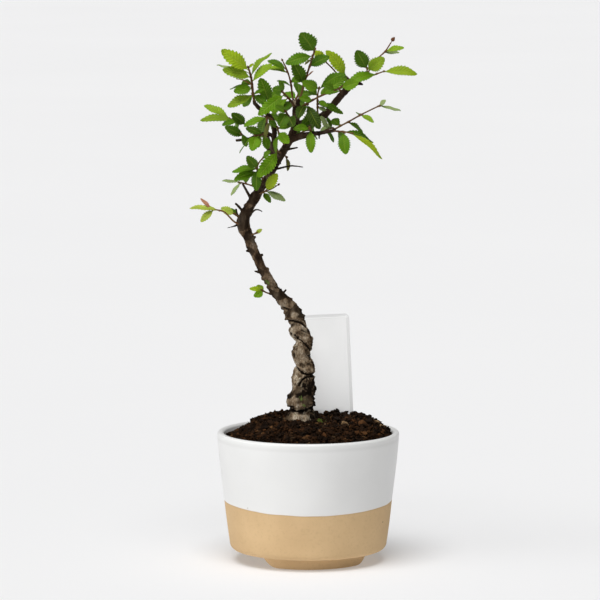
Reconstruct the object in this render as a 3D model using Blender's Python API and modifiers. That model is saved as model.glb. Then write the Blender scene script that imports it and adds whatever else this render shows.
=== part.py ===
"""A small elm bonsai in its round two-tone pot.

Pieces: pot, soil, drainage mesh, plant label, trunk with its woody branches, and one piece for each
leafy shoot.  Lengths are in millimetres and become metres when a mesh is made.  The feet stand on
z = 0, the front is -Y, and the pot's centre line is at x = POT_X, so that the origin lies under the
middle of the whole plant.

Trunk, branches, shoots and leaves are drawn as they look from the front: each point has its x, its
height z as seen, and its depth y.  That view looks down a little, so whatever lies deeper looks higher
by SIGHT for each millimetre, and placed() takes that off again.
"""
import bpy
import bmesh
from math import cos, pi, radians, sin
from mathutils import Vector

MM = 0.001
GAP = 0.3
POT_X = 2.8
SIGHT = 0.1157

POT_HEIGHT = 78.5
RIM_RADIUS = 55.0
WALL = 4.0
FLOOR_TOP = 12.5
FOOT_HEIGHT = 7.0
FOOT_OUTER = 36.2
FOOT_INNER = 29.0
DRAIN_RADIUS = 7.0
POT_SEGMENTS = 40

# The trench that cuts the foot ring into a front and a back foot: heights with widths.
TRENCH = [(-1.0, 57.0), (0.0, 55.0), (1.5, 47.5), (3.8, 43.0), (6.8, 38.7)]
TRENCH_LENGTH = 120.0
TRENCH_AZIMUTH = radians(11)

SOIL_EDGE = 75.0
SOIL_EDGE_RIGHT = 1.2
SOIL_RISE = 11.8
SOIL_SHOULDER = 0.5
SOIL_STEEPNESS = 6
SOIL_TILT = 0.07
SOIL_TILT_FROM = 20.0
SOIL_SEGMENTS = POT_SEGMENTS
SOIL_RINGS = 6
CRUMB = 0.9

MESH_SIZE = 22.0
MESH_CELLS = 7
MESH_THICKNESS = 1.2

LABEL_WIDTH = 32.0
LABEL_HEIGHT = 80.0
LABEL_THICKNESS = 1.0
LABEL_CORNER = 3.0
LABEL_TOP = (8.7, 149.3, 19.0)
LABEL_TILT = radians(2.6)

TRUNK_SIDES = 10
SCAR_PITCH = 23.0
SCAR_DEPTH = 0.07

BLADE_THICKNESS = 0.62
BLADE_ARCH = 0.07
BLADE_ROOT = 0.5
TOOTH_DEPTH = 0.16
TOOTH_SPACING = 4.7
FEWEST_TEETH = 2
MOST_TEETH = 4
FIRST_TOOTH = 0.2
LAST_TOOTH = 0.86
TOOTH_BACK = 0.04

# Trunk from its hidden root end to its sawn top: x, height as seen, radius.
TRUNK = [
    (-4.0, 58.0, 5.0), (-4.0, 66.0, 6.6), (-4.0, 76.0, 8.0), (-4.0, 82.0, 8.6), (-4.2, 85.5, 8.7),
    (-4.3, 88.3, 8.1), (-4.2, 90.9, 6.2), (-4.4, 93.0, 7.6), (-4.6, 95.6, 8.3), (-4.4, 98.0, 8.0),
    (-3.6, 100.6, 7.3), (-3.0, 104.0, 6.9), (-3.1, 109.2, 6.6), (-2.6, 113.8, 5.9),
    (-2.0, 117.6, 5.2), (-3.2, 121.2, 4.6), (-4.5, 124.2, 4.9), (-3.7, 127.4, 5.1),
    (-2.9, 130.0, 5.0), (-2.3, 133.0, 4.8), (-3.6, 136.5, 4.9), (-5.8, 139.5, 5.0),
    (-6.1, 142.4, 4.5), (-7.2, 146.0, 4.7), (-9.2, 150.6, 5.0), (-11.2, 153.8, 4.0),
    (-14.4, 157.6, 3.6), (-18.2, 161.5, 3.3), (-21.2, 165.4, 3.1), (-23.6, 170.0, 3.1),
    (-27.4, 176.2, 2.8), (-30.3, 182.7, 2.8), (-33.5, 189.3, 3.0), (-35.9, 195.8, 3.3),
    (-38.6, 201.0, 3.6), (-39.2, 206.0, 3.6), (-37.6, 210.6, 3.3), (-34.6, 215.4, 3.1),
    (-31.6, 220.6, 3.0), (-28.6, 226.0, 2.6), (-25.0, 231.0, 2.3), (-22.4, 235.4, 2.2),
    (-19.4, 240.6, 2.3), (-16.2, 245.8, 2.4), (-13.2, 251.0, 2.5), (-10.4, 256.2, 2.5),
    (-8.4, 261.6, 2.4), (-7.5, 267.0, 2.4), (-7.2, 272.5, 2.4), (-7.4, 278.5, 2.3),
]

# Woody branches, part of the trunk's piece: x, height as seen, depth, radius.
BRANCHES = {
    "right_upper": [(-7.6, 262.5, 2, 2.5), (-1.5, 264.8, 3, 2.4), (4.5, 266.8, 4.5, 2.4),
                    (9.5, 269.8, 6, 2.2), (13.5, 274, 7, 2.1), (17.5, 279, 8, 2.1),
                    (21.5, 283.8, 9, 2.0), (25.5, 287.5, 10, 1.9), (29, 289.2, 11, 1.4),
                    (32.8, 288.3, 12, 0.6)],
    "right_lower": [(-11.8, 253.6, 1, 2.1), (-7, 256.2, -1.5, 2.1), (-2, 257.2, -3.5, 1.9),
                    (3, 258, -5, 1.6), (8, 258.6, -6.3, 1.3), (14.4, 259.7, -8, 1.1)],
    "left": [(-16.8, 245, 1.5, 1.9), (-19.6, 247.8, -1.5, 1.7), (-20.7, 253.5, -4, 1.6),
             (-20.4, 260, -6, 1.5), (-21.4, 266, -8, 1.4), (-25, 270.2, -9.5, 1.3),
             (-29.5, 273.2, -10.5, 1.3), (-32.2, 276.2, -11, 1.2)],
    "left_fork": [(-18.6, 246.8, -0.5, 1.3), (-22.4, 246.4, 1.5, 1.2), (-25.2, 251, 3.5, 0.8)],
    "left_lower": [(-20.6, 256.5, -5, 1.3), (-25.6, 258.4, -1.5, 1.1), (-31, 257.2, 2, 1.0),
                   (-36.6, 255.2, 4, 0.8), (-43.4, 254.4, 6, 0.9)],
    "back": [(-10.4, 256.4, 1, 1.9), (-8.2, 262, 8, 1.6), (-7.4, 267.5, 15, 1.4),
             (-8, 272, 21, 1.2)],
    "back_left": [(-18.4, 242.6, 1.5, 1.8), (-21.6, 249, 8, 1.5), (-24.4, 256, 15, 1.3),
                  (-25.4, 263.5, 21, 1.1)],
}

# Bare stubs and dry twigs, also part of the trunk's piece: points with depth, first and last radius.
STUBS = [
    ([(-39.0, 211, 2), (-41.6, 214.4, 1), (-43.8, 216.5, 0)], 1.0, 0.7),
    ([(-39.0, 206.5, 2), (-42.4, 208.8, 4.5), (-43.5, 213.4, 5.5)], 1.0, 0.7),
    ([(-33.4, 217.5, 2), (-36, 222, 0), (-39.4, 228.3, -2)], 1.1, 0.7),
    ([(-29.2, 225.4, 1), (-26.6, 225.2, -2), (-24.4, 227.2, -3)], 0.8, 0.5),
    ([(-21.6, 236.6, 1), (-17, 237.5, -1.5), (-10, 238.9, -3), (-3, 238, -4)], 0.9, 0.4),
    ([(-13.6, 248.8, 1), (-10, 249.2, -2), (-6.2, 249.9, -3)], 0.9, 0.5),
    ([(-18.4, 241.5, 1), (-16.6, 240.2, -2)], 0.8, 0.7),
    ([(-33.6, 195.2, 2), (-31.6, 196.4, 3)], 1.2, 0.8),
    ([(-36.4, 210.6, 2), (-33.8, 210.8, -1), (-32.0, 212.4, -2), (-29.6, 212.4, -3),
      (-27.5, 211.2, -4)], 0.85, 0.4),
    ([(-41.0, 204.6, 2), (-44.0, 202.8, 1), (-48.8, 201.6, 0)], 0.6, 0.3),
    ([(-34.6, 187.4, 2), (-37.4, 187.8, 1)], 0.9, 0.6),
    ([(-29.8, 184.4, 2), (-27.2, 185.6, 1)], 1.2, 0.8),
    ([(-28.4, 174.6, 2), (-32.4, 175.6, 1)], 1.1, 0.5),
    ([(-16.8, 160.6, 2), (-13.2, 164.4, 1)], 0.8, 0.6),
    ([(-9.6, 151.2, 2), (-3.9, 151.8, 0)], 1.2, 0.5),
    ([(6.4, 258.4, -6), (6.5, 254.8, -7)], 0.7, 0.5),
    ([(-24.6, 270, -9.4), (-24.4, 267.6, -12)], 1.1, 0.9),
    ([(-4.6, 100.4, -2), (-11.8, 100.4, -3)], 1.6, 1.0),
]

# Leafy shoots.  Each has the bare length of its woody collar, then its stems.  A stem has its points
# (x, height as seen, depth), its first and last radius, and its leaves.  A leaf is: place along the
# stem's points, tip x, tip height as seen, tip depth from the stem, turn in degrees (0 shows the
# upper face to the front, 90 turns it up), and width over length.
SHOOTS = {
    "crown_shoot": (3.6, [
        ([(-6.6, 276, 0), (-4.2, 282, -1), (-2.3, 289, -2), (0.3, 297, -3), (2.2, 303, -4),
          (3.8, 308, -5)], 0.95, 0.6, [
            (4.8, -4.6, 317.4, -12, 0, 0.56),
            (4.3, -13.6, 299.6, -5, 20, 0.42),
            (3.2, 12.4, 304.0, -4, 25, 0.5),
            (3.9, -2.2, 299.6, 3, 55, 0.36),
            (2.1, 2.8, 295.8, 4, 78, 0.3),
            (1.8, -9.3, 300.2, -6, 10, 0.5)]),
    ]),
    "crown_left_shoot": (3.6, [
        ([(-8.2, 275.6, 0.5), (-9.6, 281, 3), (-10.2, 287, 4), (-11.4, 292.5, 4.5),
          (-13.2, 297.5, 5), (-15.3, 302, 5.5)], 0.8, 0.5, [
            (3.9, -24.4, 302.2, -2, 52, 0.45),
            (3.5, -25.4, 298.2, 5, 62, 0.42),
            (2.0, -18.9, 290.0, -3, 72, 0.4),
            (2.4, -5.5, 291.5, 8, 35, 0.5)]),
    ]),
    "upper_left_shoot": (1.8, [
        ([(-32.0, 276.0, -11), (-32.9, 281, -12), (-33.4, 286, -13), (-34.0, 291, -14),
          (-34.9, 294.6, -14.5), (-35.6, 296.6, -15)], 0.9, 0.55, [
            (4.3, -51.6, 306.9, -6, 22, 0.42),
            (3.3, -21.8, 305.8, 5, 68, 0.4),
            (3.0, -50.8, 295.4, -7, 30, 0.42),
            (2.5, -21.6, 299.0, -3, 52, 0.42),
            (4.9, -32.6, 299.4, 1, 30, 0.4),
            (3.6, -54.6, 298.6, 7, 80, 0.3),
            (1.7, -44.3, 282.5, -6, 15, 0.5),
            (1.9, -46.9, 284.7, 6, 75, 0.34),
            (0.9, -47.9, 273.6, -4, 35, 0.38),
            (2.1, -42.9, 290.7, 4, 80, 0.2),
            (1.1, -38.9, 274.2, 4, 20, 0.5),
            (1.0, -26.3, 283.8, -4, 60, 0.4),
            (1.0, -24.6, 275.0, -3, 20, 0.5),
            (2.2, -39.6, 289.0, 7, 30, 0.5)]),
    ]),
    "back_left_shoot": (3.6, [
        ([(-25.2, 262.4, 20), (-24.8, 270, 25), (-23.6, 277, 28), (-23, 282, 31)], 0.9, 0.55, [
            (2.2, -29.0, 293.0, -3, 8, 0.5),
            (1.1, -28.5, 257.5, 10, 40, 0.45),
            (1.2, -16.4, 266.5, 8, 50, 0.45),
            (1.7, -15.8, 279.5, 9, 55, 0.45),
            (2.7, -17.5, 284.5, 12, 45, 0.45),
            (1.0, -19.5, 256.0, 5, 60, 0.45)]),
    ]),
    "front_left_shoot": (3.6, [
        ([(-7.6, 273, -1), (-10.5, 277.5, -8), (-13, 280, -15), (-15.5, 282.2, -22)], 0.85, 0.55, [
            (2.4, -29.7, 268.2, -6, 8, 0.34),
            (2.9, -21.4, 283.4, -9, 10, 0.5),
            (2.8, -17.2, 288.4, -6, 35, 0.4),
            (1.1, -15.6, 270.8, -5, 25, 0.56),
            (1.6, -21.6, 269.4, 3, 35, 0.4)]),
    ]),
    "front_shoot": (3.6, [
        ([(-8.2, 263, 0), (-10.5, 266.5, -9), (-12, 268.5, -17), (-13.5, 270.5, -25)], 0.85, 0.55, [
            (2.5, -17.4, 261.6, -9, 0, 0.62),
            (1.8, -8.8, 261.4, -10, 0, 0.58),
            (2.9, -19.5, 273.6, -6, 30, 0.45)]),
    ]),
    "front_low_shoot": (3.6, [
        ([(-13.4, 250.6, 0), (-16, 254, -8), (-17.5, 257.5, -15), (-18.4, 261, -20)], 0.8, 0.55, [
            (2.3, -11.5, 251.6, -9, 5, 0.48),
            (2.0, -19.3, 246.2, -5, 60, 0.42),
            (2.8, -10.6, 262.4, 3, 35, 0.5),
            (2.9, -23.5, 264.5, -6, 40, 0.4)]),
    ]),
    "left_mid_shoot": (3.5, [
        ([(-20.9, 263.2, -7), (-21.6, 266, -12), (-24.5, 267.6, -16), (-27, 268, -20)], 0.75, 0.5, [
            (1.1, -25.7, 254.6, -2, 58, 0.36),
            (2.1, -38.4, 261.8, -3, 48, 0.36)]),
    ]),
    "left_low_shoot": (2.6, [
        ([(-25.6, 258.4, -1.5), (-27, 257.5, -7), (-29, 257, -12), (-31.5, 256.5, -17)], 0.75, 0.5, [
            (0.9, -37.4, 261.4, 0, 15, 0.44),
            (1.3, -33.0, 254.6, -5, 35, 0.4),
            (2.9, -33.6, 247.1, -9, 0, 0.56),
            (1.9, -29.7, 249.4, -3, 20, 0.5),
            (2.6, -41.2, 246.2, 7, 80, 0.24),
            (0.9, -24.2, 248.6, 1, 15, 0.52)]),
    ]),
    "far_left_shoot": (2.4, [
        ([(-31, 257.2, 2), (-34.5, 261, 6), (-38, 264.3, 10), (-43, 266.5, 14), (-47, 268, 17)],
         0.75, 0.5, [
            (4.0, -62.9, 276.2, 4, 48, 0.34),
            (3.4, -64.9, 267.0, -5, 48, 0.27),
            (1.9, -45.9, 270.6, -6, 0, 0.5),
            (2.9, -51.9, 263.8, -3, 45, 0.46),
            (2.6, -44.0, 262.0, 11, 50, 0.45)]),
    ]),
    "far_left_low_shoot": (2.2, [
        ([(-36.6, 255.2, 4), (-38.6, 256.8, -1), (-40, 258, -6)], 0.7, 0.5, [
            (0.9, -49.9, 262.4, -3, 10, 0.44),
            (1.9, -36.8, 250.6, 4, 30, 0.5)]),
    ]),
    "centre_shoot": (3.6, [
        ([(-6.4, 273, -1), (-2, 275.3, -5), (3, 278.2, -8), (8, 280.6, -11), (13, 282.2, -14),
          (18, 284.5, -17), (22, 287, -19)], 0.8, 0.5, [
            (2.9, 21.2, 289.8, -5, 20, 0.4),
            (5.3, 29.5, 287.6, -5, 8, 0.52),
            (1.9, -5.3, 278.8, -4, 20, 0.5),
            (1.2, 6.9, 260.6, -4, 8, 0.42),
            (1.0, -6.2, 267.0, -8, 20, 0.5),
            (4.5, 9.0, 286.4, -7, 30, 0.45)]),
    ]),
    "middle_shoot": (3.4, [
        ([(5.2, 267, 4.5), (5.5, 271, 1.5), (5.4, 276, 0), (5.5, 281, -0.5), (6.3, 285, -1)],
         0.75, 0.5, [
            (3.9, 21.9, 293.8, -7, 55, 0.4),
            (4.0, -3.6, 288.8, -8, 5, 0.5),
            (3.0, 0.4, 285.2, 5, 20, 0.6),
            (2.0, 20.6, 270.0, -2, 55, 0.36),
            (2.4, 11.4, 274.2, -5, 35, 0.42),
            (1.6, 10.6, 272.2, -1, 30, 0.5),
            (0.9, -3.8, 262.8, -7, 25, 0.5)]),
    ]),
    "right_top_shoot": (3.2, [
        ([(27.4, 288.5, 10.6), (31, 290.4, 9), (35, 292, 7.5), (40, 294, 6), (44.5, 295.6, 5)],
         0.8, 0.5, [
            (3.2, 23.6, 289.2, -6, 35, 0.36),
            (4.0, 65.3, 294.6, 2, 40, 0.33)]),
        ([(35.2, 292.1, 7.4), (35.1, 297.2, 5)], 0.6, 0.5, [
            (1.0, 28.8, 308.0, -6, 0, 0.6),
            (0.9, 45.2, 303.4, -9, 0, 0.52)]),
        ([(35.1, 294.4, 6.4), (38.5, 299.5, 10), (42.5, 304.8, 12), (46.2, 308.4, 13),
          (50.1, 314.4, 14)], 0.6, 0.45, [
            (3.0, 57.3, 310.2, -3, 40, 0.34),
            (2.7, 54.6, 308.0, 6, 55, 0.36)]),
    ]),
    "right_inner_shoot": (3.2, [
        ([(25.2, 287.3, 10), (24.3, 291, 7), (21.6, 293.2, 4.5), (18, 293.6, 3), (14, 297.8, 2),
          (10, 301.6, 1)], 0.75, 0.5, [
            (1.7, 10.6, 308.0, -5, 20, 0.38),
            (4.9, 3.4, 307.6, -2, 30, 0.6),
            (2.1, 20.9, 297.2, 2, 70, 0.4),
            (1.3, 19.5, 290.8, -8, 20, 0.5)]),
    ]),
    "right_back_shoot": (3.4, [
        ([(19.6, 281.6, 8.5), (20, 284, 15), (18.5, 286, 22), (16, 287.5, 28)], 0.75, 0.5, [
            (2.9, 7.5, 284.5, 9, 50, 0.45),
            (1.9, 26.5, 290.0, 7, 45, 0.45),
            (2.4, 14.5, 291.5, 12, 30, 0.45),
            (1.4, 12.0, 283.0, 4, 60, 0.45)]),
    ]),
    "right_long_shoot": (2.6, [
        ([(14.0, 259.6, -8), (18.5, 262.2, -8), (23.5, 264.8, -9), (30.5, 268.7, -10),
          (36.5, 271.7, -11), (43, 274.8, -12)], 0.7, 0.5, [
            (4.9, 46.0, 277.6, -2, 30, 0.55),
            (4.8, 55.1, 271.2, 2, 70, 0.3),
            (3.1, 38.9, 264.4, -4, 48, 0.44),
            (3.0, 28.5, 270.8, 2, 60, 0.35),
            (2.0, 32.4, 259.2, 5, 60, 0.4),
            (1.1, 14.2, 266.8, 6, 15, 0.6)]),
    ]),
    "right_hanging_shoot": (2.6, [
        ([(14.0, 259.6, -8), (17.2, 259.2, -12), (21, 258.8, -15), (25.5, 257.8, -18)], 0.7, 0.5, [
            (2.0, 22.3, 245.3, -3, 0, 0.54),
            (1.8, 38.9, 252.8, 7, 72, 0.36),
            (3.0, 44.0, 242.3, -2, 62, 0.27),
            (1.1, 20.2, 254.0, 8, 35, 0.5)]),
    ]),
    "right_inner_low_shoot": (2.8, [
        ([(9.0, 258.8, -6.5), (10.6, 260.4, -1), (12.8, 261.4, 4), (14.6, 262, 9)], 0.7, 0.5, [
            (1.5, 7.4, 268.7, -3, 42, 0.4),
            (2.8, 11.0, 268.8, 4, 45, 0.4),
            (0.9, 15.4, 253.2, 4, 58, 0.38),
            (2.9, 8.0, 262.0, 14, 45, 0.42)]),
    ]),
    "hanging_shoot": (3.0, [
        ([(1.5, 257.7, -4.5), (1.5, 260.2, -9), (0.8, 261.2, -13)], 0.75, 0.5, [
            (1.1, 1.6, 246.2, -4, 4, 0.42),
            (1.6, -9.0, 260.4, -3, 35, 0.46)]),
    ]),
    "back_low_shoot": (3.2, [
        ([(-4.6, 256.8, -2), (-4.2, 259, 7), (-2.4, 260.4, 15), (0.4, 261.4, 23)], 0.75, 0.5, [
            (1.0, -10.5, 259.0, 9, 50, 0.45),
            (1.9, 4.6, 266.0, 5, 45, 0.45),
            (2.9, -4.5, 265.5, 9, 50, 0.45),
            (2.8, 4.5, 258.8, 13, 60, 0.45)]),
    ]),
    "back_shoot": (2.8, [
        ([(-7.9, 271, 20), (-8.6, 276, 27), (-7.5, 280.5, 34), (-6, 284, 40)], 0.85, 0.55, [
            (1.2, -15.8, 273.8, 8, 45, 0.45),
            (1.5, -0.8, 276.8, 8, 50, 0.45),
            (2.1, -14.8, 284.8, 7, 45, 0.45),
            (2.4, 2.4, 284.8, 6, 55, 0.45),
            (2.9, -6.8, 291.5, 9, 30, 0.45)]),
    ]),
    "lower_cluster_shoot": (3.2, [
        ([(-26.4, 229.2, 1), (-28.6, 233.4, -5), (-30.6, 236.8, -9), (-29.6, 240.2, -12),
          (-27, 243.2, -15)], 0.8, 0.5, [
            (2.0, -31.1, 223.6, -4, 5, 0.46),
            (2.2, -36.5, 244.1, -8, 0, 0.48),
            (2.1, -45.4, 234.8, -2, 58, 0.38),
            (2.0, -41.4, 234.8, 6, 42, 0.42),
            (1.5, -44.4, 230.2, -3, 30, 0.36),
            (3.9, -22.5, 247.0, -6, 50, 0.45)]),
    ]),
    "trunk_leaf_shoot": (3.6, [
        ([(-15.9, 246.2, 0.5), (-18, 247.4, -6), (-19.6, 248.6, -11)], 0.75, 0.5, [
            (1.1, -30.1, 231.8, -7.3, 5, 0.4)]),
    ]),
    "grey_twig_shoot": (3.6, [
        ([(-29.4, 224.6, 1), (-33.5, 227, 6), (-38, 228.6, 10), (-41.5, 229.4, 13)], 0.7, 0.5, [
            (2.9, -51.9, 230.3, 2, 70, 0.34),
            (2.7, -46.4, 221.1, -3, 62, 0.4),
            (1.9, -36.0, 234.0, 8, 40, 0.5)]),
    ]),
    "trunk_right_shoot": (3.4, [
        ([(-17.4, 243.9, 1), (-14.4, 245.2, 5.5), (-13.2, 244.6, 7)], 0.7, 0.55, [
            (1.8, -12.3, 236.0, 0, 38, 0.34)]),
    ]),
    "right_young_shoot": (3.6, [
        ([(-30.6, 221.6, 1), (-27.3, 222.8, -4), (-25.4, 223.7, -7)], 0.75, 0.55, [
            (1.9, -18.6, 234.0, -4, 12, 0.46),
            (1.8, -13.8, 218.0, 2, 42, 0.38),
            (1.2, -22.6, 216.6, -5, 30, 0.46)]),
        ([(-26.2, 223.3, -5.7), (-22, 225, -3), (-18.4, 227.3, -2)], 0.5, 0.45, []),
    ]),
    "left_young_shoot": (4.6, [
        ([(-39.4, 202.6, 2), (-44.5, 205.4, -3), (-47.5, 208.4, -5), (-50.2, 211, -7),
          (-53.5, 212.1, -8), (-58.4, 212.5, -9)], 0.75, 0.5, [
            (3.7, -70.9, 213.4, -3, 58, 0.24),
            (4.6, -64.3, 205.0, -3, 18, 0.4),
            (4.9, -64.4, 219.2, 2, 35, 0.26)]),
    ]),
    "bud_shoot": (4.4, [
        ([(-39.0, 207.6, 2), (-42.2, 208.6, -1.5), (-44, 209.8, -3.5)], 0.75, 0.6, [
            (1.9, -52.3, 213.6, 2, 5, 0.52),
            (1.6, -46.7, 213.4, 4, 40, 0.4)]),
    ]),
    "low_left_shoot": (4.2, [
        ([(-19.6, 161.2, 2), (-24.5, 162.3, 1), (-27.5, 163.8, 0)], 0.7, 0.5, [
            (1.9, -35.4, 165.0, -2, 40, 0.4),
            (1.8, -32.7, 160.2, -4, 10, 0.6),
            (1.7, -31.0, 167.0, 5, 35, 0.5)]),
    ]),
    "low_right_shoot": (4.4, [
        ([(-36.0, 196.6, 2), (-32.4, 198, -2), (-31.4, 198.4, -3)], 0.7, 0.55, [
            (1.5, -27.7, 200.8, -1, 25, 0.5)]),
    ]),
}


def clear_scene():
    for item in list(bpy.data.objects):
        bpy.data.objects.remove(item, do_unlink=True)


def new_collection(name):
    group = bpy.data.collections.new(name)
    bpy.context.scene.collection.children.link(group)
    return group


def material(name, color, roughness, metallic=0.0):
    result = bpy.data.materials.new(name)
    result.use_nodes = True
    shader = result.node_tree.nodes["Principled BSDF"]
    shader.inputs["Base Color"].default_value = (*color, 1.0)
    shader.inputs["Roughness"].default_value = roughness
    shader.inputs["Metallic"].default_value = metallic
    result.diffuse_color = (*color, 1.0)
    return result


def add_object(name, mesh, group, finish=None):
    item = bpy.data.objects.new(name, mesh)
    group.objects.link(item)
    if finish:
        mesh.materials.clear()
        mesh.materials.append(finish)
    return item


def as_cutter(item):
    item.hide_render = True
    item.display_type = "WIRE"
    return item


def applied(item):
    """Replace an object's data with its evaluated mesh, modifiers and all."""
    graph = bpy.context.evaluated_depsgraph_get()
    graph.update()
    mesh = bpy.data.meshes.new_from_object(item.evaluated_get(graph))
    item.modifiers.clear()
    item.data = mesh
    return item


def cut(item, cutter):
    step = item.modifiers.new("cut_" + cutter.name, "BOOLEAN")
    step.operation = "DIFFERENCE"
    step.object = cutter
    step.solver = "EXACT"


def fuse(base, group, solver="EXACT"):
    """Join a collection's objects to one object, then take them away."""
    if group.objects:
        step = base.modifiers.new("fuse", "BOOLEAN")
        step.operation = "UNION"
        step.operand_type = "COLLECTION"
        step.collection = group
        step.solver = solver
        applied(base)
    for item in list(group.objects):
        bpy.data.objects.remove(item, do_unlink=True)
    bpy.data.collections.remove(group)
    return base


def placed(x, seen_height, depth):
    """A point as drawn from the front, in space and in metres."""
    return Vector((x + POT_X, depth, seen_height - SIGHT * depth)) * MM


def turned(name, profile, segments, group):
    """Revolve a closed profile of (radius, height) points about the pot's centre line."""
    mesh = bpy.data.meshes.new(name)
    bm = bmesh.new()
    points = [bm.verts.new((radius * MM, 0.0, height * MM)) for radius, height in profile]
    for first, second in zip(points, points[1:] + points[:1]):
        bm.edges.new((first, second))
    bm.to_mesh(mesh)
    bm.free()
    item = add_object(name, mesh, group)
    item.location.x = POT_X * MM
    spin = item.modifiers.new("turn", "SCREW")
    spin.steps = segments
    spin.render_steps = segments
    spin.use_merge_vertices = True
    spin.merge_threshold = 0.00001
    return item


def tube(name, points, first_radius, last_radius, group, detail=1, radii=None):
    """A tapered round rod along points in space, as a mesh with welded flat ends."""
    curve = bpy.data.curves.new(name, "CURVE")
    curve.dimensions = "3D"
    curve.bevel_depth = MM
    curve.bevel_resolution = detail
    curve.use_fill_caps = True
    spline = curve.splines.new("POLY")
    spline.points.add(len(points) - 1)
    last = len(points) - 1
    for index, point in enumerate(points):
        spline.points[index].co = (*point, 1.0)
        share = index / last
        taper = first_radius + (last_radius - first_radius) * share
        spline.points[index].radius = radii[index] if radii else taper
    rod = bpy.data.objects.new(name, curve)
    group.objects.link(rod)
    applied_mesh = bpy.data.meshes.new_from_object(
        rod.evaluated_get(bpy.context.evaluated_depsgraph_get()))
    bm = bmesh.new()
    bm.from_mesh(applied_mesh)
    bmesh.ops.remove_doubles(bm, verts=bm.verts, dist=0.00001)
    bmesh.ops.recalc_face_normals(bm, faces=bm.faces)
    bm.to_mesh(applied_mesh)
    bm.free()
    bpy.data.objects.remove(rod, do_unlink=True)
    bpy.data.curves.remove(curve)
    return add_object(name, applied_mesh, group)


def outer_radius(height):
    """The pot's outside: a long side that opens slightly towards the rim."""
    share = (height - 11.7) / (POT_HEIGHT - 11.7)
    return 47.5 + (RIM_RADIUS - 47.5) * (1.28 * share - 0.28 * share * share)


def inner_wall():
    """The inside of the pot from the rim's inner edge down to the floor."""
    heights = (75.5, 47.0, 19.0)
    side = [(outer_radius(height) - WALL, height) for height in heights]
    return side + [(42.6, 14.0), (39.0, FLOOR_TOP)]


def make_pot(parts, cutters):
    heights = (75.0, 55.0, 34.9, 11.7)
    rim = [(52.9, POT_HEIGHT), (54.3, 77.9), (RIM_RADIUS, 76.7)]
    outside = [(outer_radius(height), height) for height in heights]
    corner = [(46.4, 9.2), (44.0, 7.9), (40.2, 6.9), (37.6, 6.2)]
    foot = [(FOOT_OUTER + 0.6, 0.6), (FOOT_OUTER, 0.0), (FOOT_INNER, 0.0),
            (28.2, FOOT_HEIGHT + 0.2)]
    drain = [(DRAIN_RADIUS, FOOT_HEIGHT + 0.2), (DRAIN_RADIUS, FLOOR_TOP)]
    lip = [(51.3, 77.6), (52.0, 78.3)]
    profile = rim + outside + corner + foot + drain + inner_wall()[::-1] + lip
    pot = turned("pot", profile, POT_SEGMENTS, parts)
    pot.data.materials.append(material("glazed_white", (0.83, 0.83, 0.81), 0.22))
    cut(pot, foot_trench(cutters))
    smooth(applied(pot), 32)


def foot_trench(cutters):
    """A long wedge across the foot ring, wider at the ground."""
    side = [(0.5 * width, height) for height, width in TRENCH]
    outline = side + [(-x, height) for x, height in side[::-1]]
    trench = as_cutter(plate("foot_trench", outline, TRENCH_LENGTH, cutters))
    trench.location.x = POT_X * MM
    trench.rotation_euler.z = TRENCH_AZIMUTH - pi / 2
    return trench


def crumbs(x, y):
    """Uneven ground between -1 and 1 from a few crossing waves."""
    first = sin(0.83 * x + 0.37 * y + 1.0) * cos(0.71 * y - 0.29 * x)
    second = sin(1.57 * x - 1.13 * y + 2.0) * sin(1.31 * y + 0.67 * x + 0.5)
    return 0.55 * first + 0.45 * second


def soil_height(x, y):
    """Mounded soil: it falls gently to the left and the front, and steeply at the right edge."""
    edge = inner_wall()[0][0]
    reach = min(1.0, (x * x + y * y) ** 0.5 / edge)
    inwards = min(1.0, (1.0 - reach) / SOIL_SHOULDER)
    gentle = inwards * inwards * (3.0 - 2.0 * inwards)
    steep = 1.0 - reach ** SOIL_STEEPNESS
    right = 0.5 + 0.5 * x / edge
    mound = SOIL_EDGE_RIGHT * right + SOIL_RISE * (right * steep + (1.0 - right) * gentle)
    tilt = SOIL_TILT * min(0.0, y - SOIL_TILT_FROM) * (1.0 - reach * reach)
    return SOIL_EDGE + mound + tilt + CRUMB * crumbs(x, y)


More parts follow.
